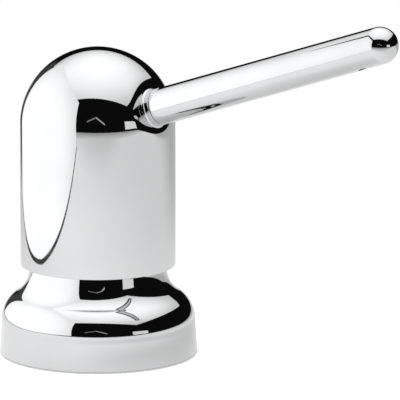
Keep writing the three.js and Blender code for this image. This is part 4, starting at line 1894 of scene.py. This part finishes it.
@dataclass
class Spout:
    """The spout: chrome tube, the soft tube inside it and the outlet under its tip."""

    axis: SpoutAxis
    radius: float = 4.7 * MM
    bore: float = 3.7 * MM
    spigot: float = 4.0 * MM
    spigot_bore: float = 2.9 * MM
    spigot_start: float = 8.6 * MM
    start: float = 20.65 * MM
    end: float = 91.0 * MM
    outlet_at: float = 85.0 * MM
    outlet: float = 1.6 * MM
    edge: float = 0.15 * MM
    body: Body = Body.HEAD

    def build(self) -> None:
        """Builds the three pieces."""
        fit(self.tube(), self.body, "spout_tube", CHROME)
        fit(self.feed(), self.body, "soap_feed_tube", HOSE)
        fit(self.nozzle(), self.body, "outlet_nozzle", RUBBER)

    def across(self, points: Grid) -> Grid:
        """Takes points made along Z to the outlet's line, which points down from the spout.

        Args:
            points: positions, with Z as the distance from the spout's line.

        Returns:
            Positions in the frame.
        """
        along = self.outlet_at - points[..., 0]
        return self.axis.lay(np.stack([points[..., 2], points[..., 1], along], axis=-1))

    def drill(self, name: str, radius: float, low: float, high: float) -> bpy.types.Object:
        """A round bar along the outlet's line.

        Args:
            name: the object's name.
            radius: the bar's radius.
            low: where it starts, from the spout's line.
            high: where it ends.

        Returns:
            The object.
        """
        line = rod(radius, low, high, high_edge=0.12 * MM)
        return turned(name, line, 72, closes=False, reshape=self.across)

    def tube(self) -> bpy.types.Object:
        """The chrome tube with its threaded root, rounded edge and half-round tip.

        Returns:
            The object.
        """
        step = self.start + 3 * MM
        root, shoulder = self.spigot_start + 0.6 * MM, self.start - 1.2 * MM
        before, after = self.outlet_at - 3.6 * MM, self.outlet_at + 3.6 * MM
        corners = [
            (0.0, self.end + self.bore, 0.0),
            *arc((0.0, self.end), self.bore, 84, 0, 14),
            *rows_between(self.bore, self.end - 1 * MM, step + 1 * MM, 6 * MM),
            (self.bore, step, 0.2 * MM),
            (self.spigot_bore, step, 0.2 * MM),
            (self.spigot_bore, self.spigot_start, 0.3 * MM),
            (self.spigot, self.spigot_start, 0.3 * MM),
            *rows_between(self.spigot, root, shoulder, 0.14 * MM),
            (self.spigot, self.start, 0.1 * MM),
            (self.radius, self.start, self.edge),
            *rows_between(self.radius, self.start + 2 * MM, self.outlet_at - 4 * MM, 2.5 * MM),
            *rows_between(self.radius, before, after, 0.24 * MM),
            *rows_between(self.radius, self.outlet_at + 4 * MM, self.end - 0.5 * MM, 0.8 * MM),
            *arc((0.0, self.end), self.radius, 0, 88, 36),
            (0.0, self.end + self.radius, 0.0),
        ]
        thread_end = self.start - 1 * MM
        cut = Thread(
            self.spigot_start, thread_end, 1.0 * MM, 0.35 * MM, radius=self.spigot, reach=0.2 * MM
        )

        def threaded(grid: Grid) -> Grid:
            """The thread, then the turn to the spout's line."""
            return self.axis.lay(cut(grid))

        line = outline(corners, closes=False)
        tube = turned("spout_pipe", line, 192, closes=False, reshape=threaded)
        hole = self.drill("outlet_hole", self.outlet + 0.15 * MM, 1 * MM, 2 * self.radius)
        return carve(tube, hole)

    def feed(self) -> bpy.types.Object:
        """The soft tube from the hub's barb to the outlet.

        Returns:
            The object.
        """
        start = self.spigot_start + 0.3 * MM
        end = self.outlet_at - 4.3 * MM
        span = Span(2.5 * MM, start, end)
        return turned("feed_hose", ring(span, 1.75 * MM, 0.15 * MM), 64, reshape=self.axis.lay)

    def nozzle(self) -> bpy.types.Object:
        """The soft elbow in the tip, whose lip lies flush in the hole underneath.

        Returns:
            The object.
        """
        start, end = self.outlet_at - 4 * MM, self.outlet_at + 3.6 * MM
        line = rod(self.bore - 0.4 * MM, start, end, 0.3 * MM, 0.6 * MM)
        body = turned("outlet_elbow", line, 96, closes=False, reshape=self.axis.lay)
        lip = self.drill("lip", self.outlet, 1 * MM, self.radius - 0.1 * MM)
        carve(body, lip, operation="UNION")
        inlet = rod(1.6 * MM, start - 1 * MM, self.outlet_at)
        channel = turned("channel", inlet, 64, closes=False, reshape=self.axis.lay)
        return carve(body, channel, self.drill("drop", 1.3 * MM, 0.0, 2 * self.radius))


# ---------------------------------------------------------------------------------- studio


@dataclass
class View:
    """The camera's side of the studio, as directions in the frame."""

    azimuth: float = 35.0

    def point(self, right: float, away: float, up: float) -> tuple[float, float, float]:
        """A point given to the camera's right, away from it, and up.

        Args:
            right: distance to the right.
            away: distance away from the camera.
            up: height.

        Returns:
            The point in the frame.
        """
        turn = math.radians(self.azimuth)
        across = (math.cos(turn), math.sin(turn))
        back = (-math.sin(turn), math.cos(turn))
        return (right * across[0] + away * back[0], right * across[1] + away * back[1], up)


def glow(name: str, strength: float) -> bpy.types.Material:
    """An even light source.

    Args:
        name: the material's name.
        strength: its brightness.

    Returns:
        The material.
    """
    return Paint(name).lamp(strength)


def reflected_only(thing: bpy.types.Object) -> None:
    """Shows a studio card only in mirrors, so that it neither hides nor lights anything.

    Args:
        thing: the card.
    """
    thing.visible_camera = False
    thing.visible_diffuse = False
    thing.visible_transmission = False
    thing.visible_volume_scatter = False
    thing.visible_shadow = False


@dataclass
class Studio:
    """Worktop sample, cards round the object, light and camera."""

    view: View = field(default_factory=View)
    centre: float = DOME_CENTRE
    room_radius: float = 6.0
    table_radius: float = 1.65
    panel_height: float = 0.7
    small_lights_away: float = 1.5

    def build(self) -> None:
        """Sets up everything that isn't the dispenser."""
        self.worktop()
        self.cards()
        self.lights()
        self.camera()

    def card(self, name: str, corners: Sequence[Corner], material: bpy.types.Material) -> None:
        """A flat card seen only in reflections.

        Args:
            name: the object's name.
            corners: its corners as (right, away, up).
            material: its surface.
        """
        mesh = bpy.data.meshes.new(name)
        points = [self.view.point(*corner) for corner in corners]
        mesh.from_pydata(points, [], [tuple(range(len(corners)))])
        mesh.materials.append(material)
        thing = bpy.data.objects.new(name, mesh)
        bpy.context.scene.collection.objects.link(thing)
        reflected_only(thing)

    def worktop(self) -> None:
        """The pale board that the dispenser is clamped to, with its hole."""
        left, right, front, back = -60 * MM, 92 * MM, -60 * MM, 62 * MM
        thickness, hole = 30 * MM, 16 * MM
        corner, step = 6 * MM, 12
        around = np.radians(np.linspace(0, 90, step))
        x_low, x_high = left + corner, right - corner
        y_low, y_high = front + corner, back - corner
        centres = np.array([(x_high, y_high), (x_low, y_high), (x_low, y_low), (x_high, y_low)])
        turns = around + np.arange(4)[:, None] * np.pi / 2
        rounded = corner * np.stack([np.cos(turns), np.sin(turns)], axis=-1)
        edge = (centres[:, None, :] + rounded).reshape(-1, 2)
        angle = np.arctan2(edge[:, 1], edge[:, 0])
        round_hole = np.stack([np.cos(angle), np.sin(angle)], axis=-1)
        chamfer = 0.8 * MM
        inward = chamfer / np.linalg.norm(edge, axis=1, keepdims=True)
        rows = [
            (hole * round_hole, -chamfer),
            ((hole + chamfer) * round_hole, 0.0),
            (edge * (1 - 2.2 * inward), 0.0),
            (edge * (1 - inward), 0.0),
            (edge, -chamfer),
            (edge, -thickness),
            (hole * round_hole, -thickness),
        ]
        turn = math.radians(self.view.azimuth)
        cosine, sine = math.cos(turn), math.sin(turn)
        spin = np.array([[cosine, -sine], [sine, cosine]])
        points = np.stack(
            [np.column_stack([flat @ spin.T, np.full(len(flat), z)]) for flat, z in rows]
        )
        board = surface("worktop", points)
        paint = Paint("pale_laminate")
        fleck = paint.noise(1800.0, 2.0).between(0.6, 0.72)
        board.data.materials.append(
            paint.finish(
                Base_Color=paint.blend(fleck, colour(0.86, 0.86, 0.86), colour(0.82, 0.82, 0.815)),
                Roughness=0.6,
                Specular_IOR_Level=0.2,
                Emission_Color=colour(1.0, 1.0, 1.0),
                Emission_Strength=0.35,
            )
        )
        board.visible_glossy = False

    def cards(self) -> None:
        """Dark room, overhead panel, side card, table and the small lights behind the camera.

        The overhead panel's corners are directions from the dome's centre, as distances to the
        right and away for each unit of height. The small lights' corners are distances to the
        right and up for each unit of the way back to the camera.
        """
        profile = outline(arc((0.0, 0.0), self.room_radius, -15, 90, 28), closes=False)
        room = turned("dark_room", profile, 64, closes=False)
        room.data.materials.append(glow("dark_drape", 0.005))
        reflected_only(room)
        self.table()
        high = self.panel_height
        flat = [(-0.78, -0.80), (1.287, -1.006), (1.647, 1.958), (-1.25, 1.95)]
        corners = [(x * high, y * high, self.centre + high) for x, y in flat]
        self.card("overhead_panel", corners, self.panel_glow(high))
        self.side_card()
        apex, thick = (-0.027, 0.397), 0.045
        stands = {"stand_left": ((-0.271, 0.282), 0.25), "stand_right": ((0.203, 0.202), 0.5)}
        small = {"window": ([(0.90, 0.015), (1.84, 0.015), (1.84, 0.34), (0.90, 0.28)], 0.95)}
        for name, (foot, strength) in stands.items():
            legs = [apex, foot, (foot[0], foot[1] - thick), (apex[0], apex[1] - thick)]
            small[name] = (legs, strength)
        far = self.small_lights_away
        for name, (flat, strength) in small.items():
            corners = [(x * far, -far, z * far + self.centre) for x, z in flat]
            self.card(name, corners, glow(name + "_glow", strength))

    def panel_glow(self, high: float) -> bpy.types.Material:
        """The overhead panel's light: brightest in the middle, softer at the edges.

        Args:
            high: the panel's height over the dome's centre.

        Returns:
            The material.
        """
        paint = Paint("panel_glow")
        distance = paint.distance(self.view.point(-0.03 * high, 0.28 * high, self.centre + high))
        return paint.lamp(1.58 - 0.8 * distance.between(0.0, 1.9 * high))

    def table(self) -> None:
        """The table as mirrors see it, glowing with painted light: a painted contact shadow where it
        touches the base, painted shade beside the base on its right, and dimmer far away as painted
        falloff of light.
        """
        disc = rod(self.table_radius, -0.05 * MM, -1.0 * MM)
        top = turned("reflected_table", disc, 64, closes=False)
        paint = Paint("table_glow")
        x, y, _ = paint.axes()
        turn = math.radians(self.view.azimuth)
        away = y * math.cos(turn) - x * math.sin(turn)
        distance = paint.distance(self.view.point(-0.09, -0.11, 0.0))
        across = x * math.cos(turn) + y * math.sin(turn)
        from_base = paint.distance(Vector((0.0, 0.0, 0.0)))
        # Painted contact shadow: the table's glow drops to 0.55 in a ring just outside the base's
        # foot.
        contact_shadow = 0.55 + 0.45 * from_base.between(Base.rim, Base.rim + 1.8 * MM)
        near = 1 - from_base.between(0.05, 0.09)
        rear = away.between(0.04, 0.23)
        front = (0 - away).between(0.24, 0.32)
        far = (0 - away).between(0.3, 0.8)
        # Painted light falloff: brightest in a pool in front to the left of the base, dimmer to the
        # rear, at the front and far away.
        level = 1.18 - 0.28 * distance.between(0.0, 0.35) - 0.35 * rear - 0.2 * front - 0.25 * far
        # Painted shade: darker within a few centimetres of the base on its right.
        level = level - 0.24 * near * across.between(-0.05, 0.05)
        top.data.materials.append(paint.lamp(level * contact_shadow))
        reflected_only(top)

    def side_card(self) -> None:
        """The white card to the left, with a dark sheet behind it that shows as a thin painted shadow
        line along its lower and front edges, and a dark screen behind it.
        """
        x, back, top = -0.110, 0.160, 0.225
        front_foot, front_top = -0.197, -0.172
        outline_low = [(x, front_foot, 0.0160), (x, -0.01, 0.0060), (x, back, 0.0035)]
        paint = Paint("side_glow")
        distance = paint.distance(self.view.point(x, 0.0, self.centre))
        corners = [*outline_low, (x, back, top), (x, front_top, top)]
        self.card("side_card", corners, paint.lamp(1.52 - 0.34 * distance.between(0.06, 0.2)))
        # Painted shadow line: a dark sheet just behind the card, a little larger than it, so that a
        # thin dark strip shows along its lower and front edges.
        behind, edge, edge_top = x - 0.0005, 0.0016, 0.17
        corners = [(behind, y - 2 * edge, z - edge) for _, y, z in outline_low]
        corners += [(behind, back, edge_top), (behind, front_top - 3 * edge, edge_top)]
        self.card("card_shadow_line", corners, glow("shadow_line_glow", 0.06))
        rear = 0.33
        corners = [(x, back, edge), (x, rear, edge), (x, rear, edge_top), (x, back, edge_top)]
        self.card("rear_screen", corners, glow("screen_glow", 0.06))

    def lights(self) -> None:
        """A white world and one wide soft light overhead."""
        world = bpy.data.worlds.new("studio")
        world.use_nodes = True
        background = world.node_tree.nodes["Background"]
        background.inputs["Color"].default_value = colour(1.0, 1.0, 1.0)
        background.inputs["Strength"].default_value = 1.0
        bpy.context.scene.world = world
        lamp = bpy.data.lights.new("soft_light", "AREA")
        lamp.shape = "DISK"
        lamp.size = 1.2
        lamp.energy = 9.0
        light = bpy.data.objects.new("soft_light", lamp)
        light.location = self.view.point(-0.25, -0.2, 1.1)
        light.rotation_euler = (-light.location).to_track_quat("-Z", "Y").to_euler()
        light.visible_glossy = False
        light.visible_camera = False
        bpy.context.scene.collection.objects.link(light)
        settings = bpy.context.scene.view_settings
        settings.view_transform = "Standard"
        settings.look = "None"

    def camera(self) -> None:
        """A far camera with a long lens, a little above the worktop."""
        right, distance, height = 26.12 * MM, 1.6, 380.9 * MM
        down, lens_ratio = 12.036, 15.984
        lens = bpy.data.cameras.new("camera")
        lens.sensor_width = 36.0
        lens.lens = lens_ratio * lens.sensor_width
        lens.clip_end = 100.0
        eye = bpy.data.objects.new("camera", lens)
        turn = Matrix.Rotation(math.radians(self.view.azimuth), 4, "Z")
        tilt = Matrix.Rotation(math.radians(90 - down), 4, "X")
        eye.matrix_world = Matrix.Translation(self.view.point(right, -distance, height)) @ turn @ tilt
        bpy.context.scene.collection.objects.link(eye)
        bpy.context.scene.camera = eye


# ---------------------------------------------------------------------------------- whole scene


def main() -> None:
    """Builds the dispenser from the worktop up, then the studio."""
    logging.basicConfig(level=logging.INFO, format="%(name)s: %(message)s")
    base = Base()
    base.build()
    DeckClamp(base.shank_radius).build()
    Bottle(base.shank_radius).build()
    Cartridge().build()
    Plunger().build()
    ValveBalls().build()
    shell = Span.of("head_shell")
    axis = SpoutAxis()
    log.info("head reaches %.1f mm up", shell.high / MM)
    Head(axis).build()
    Spout(axis).build()
    Studio().build()


if __name__ == "__main__":
    main()
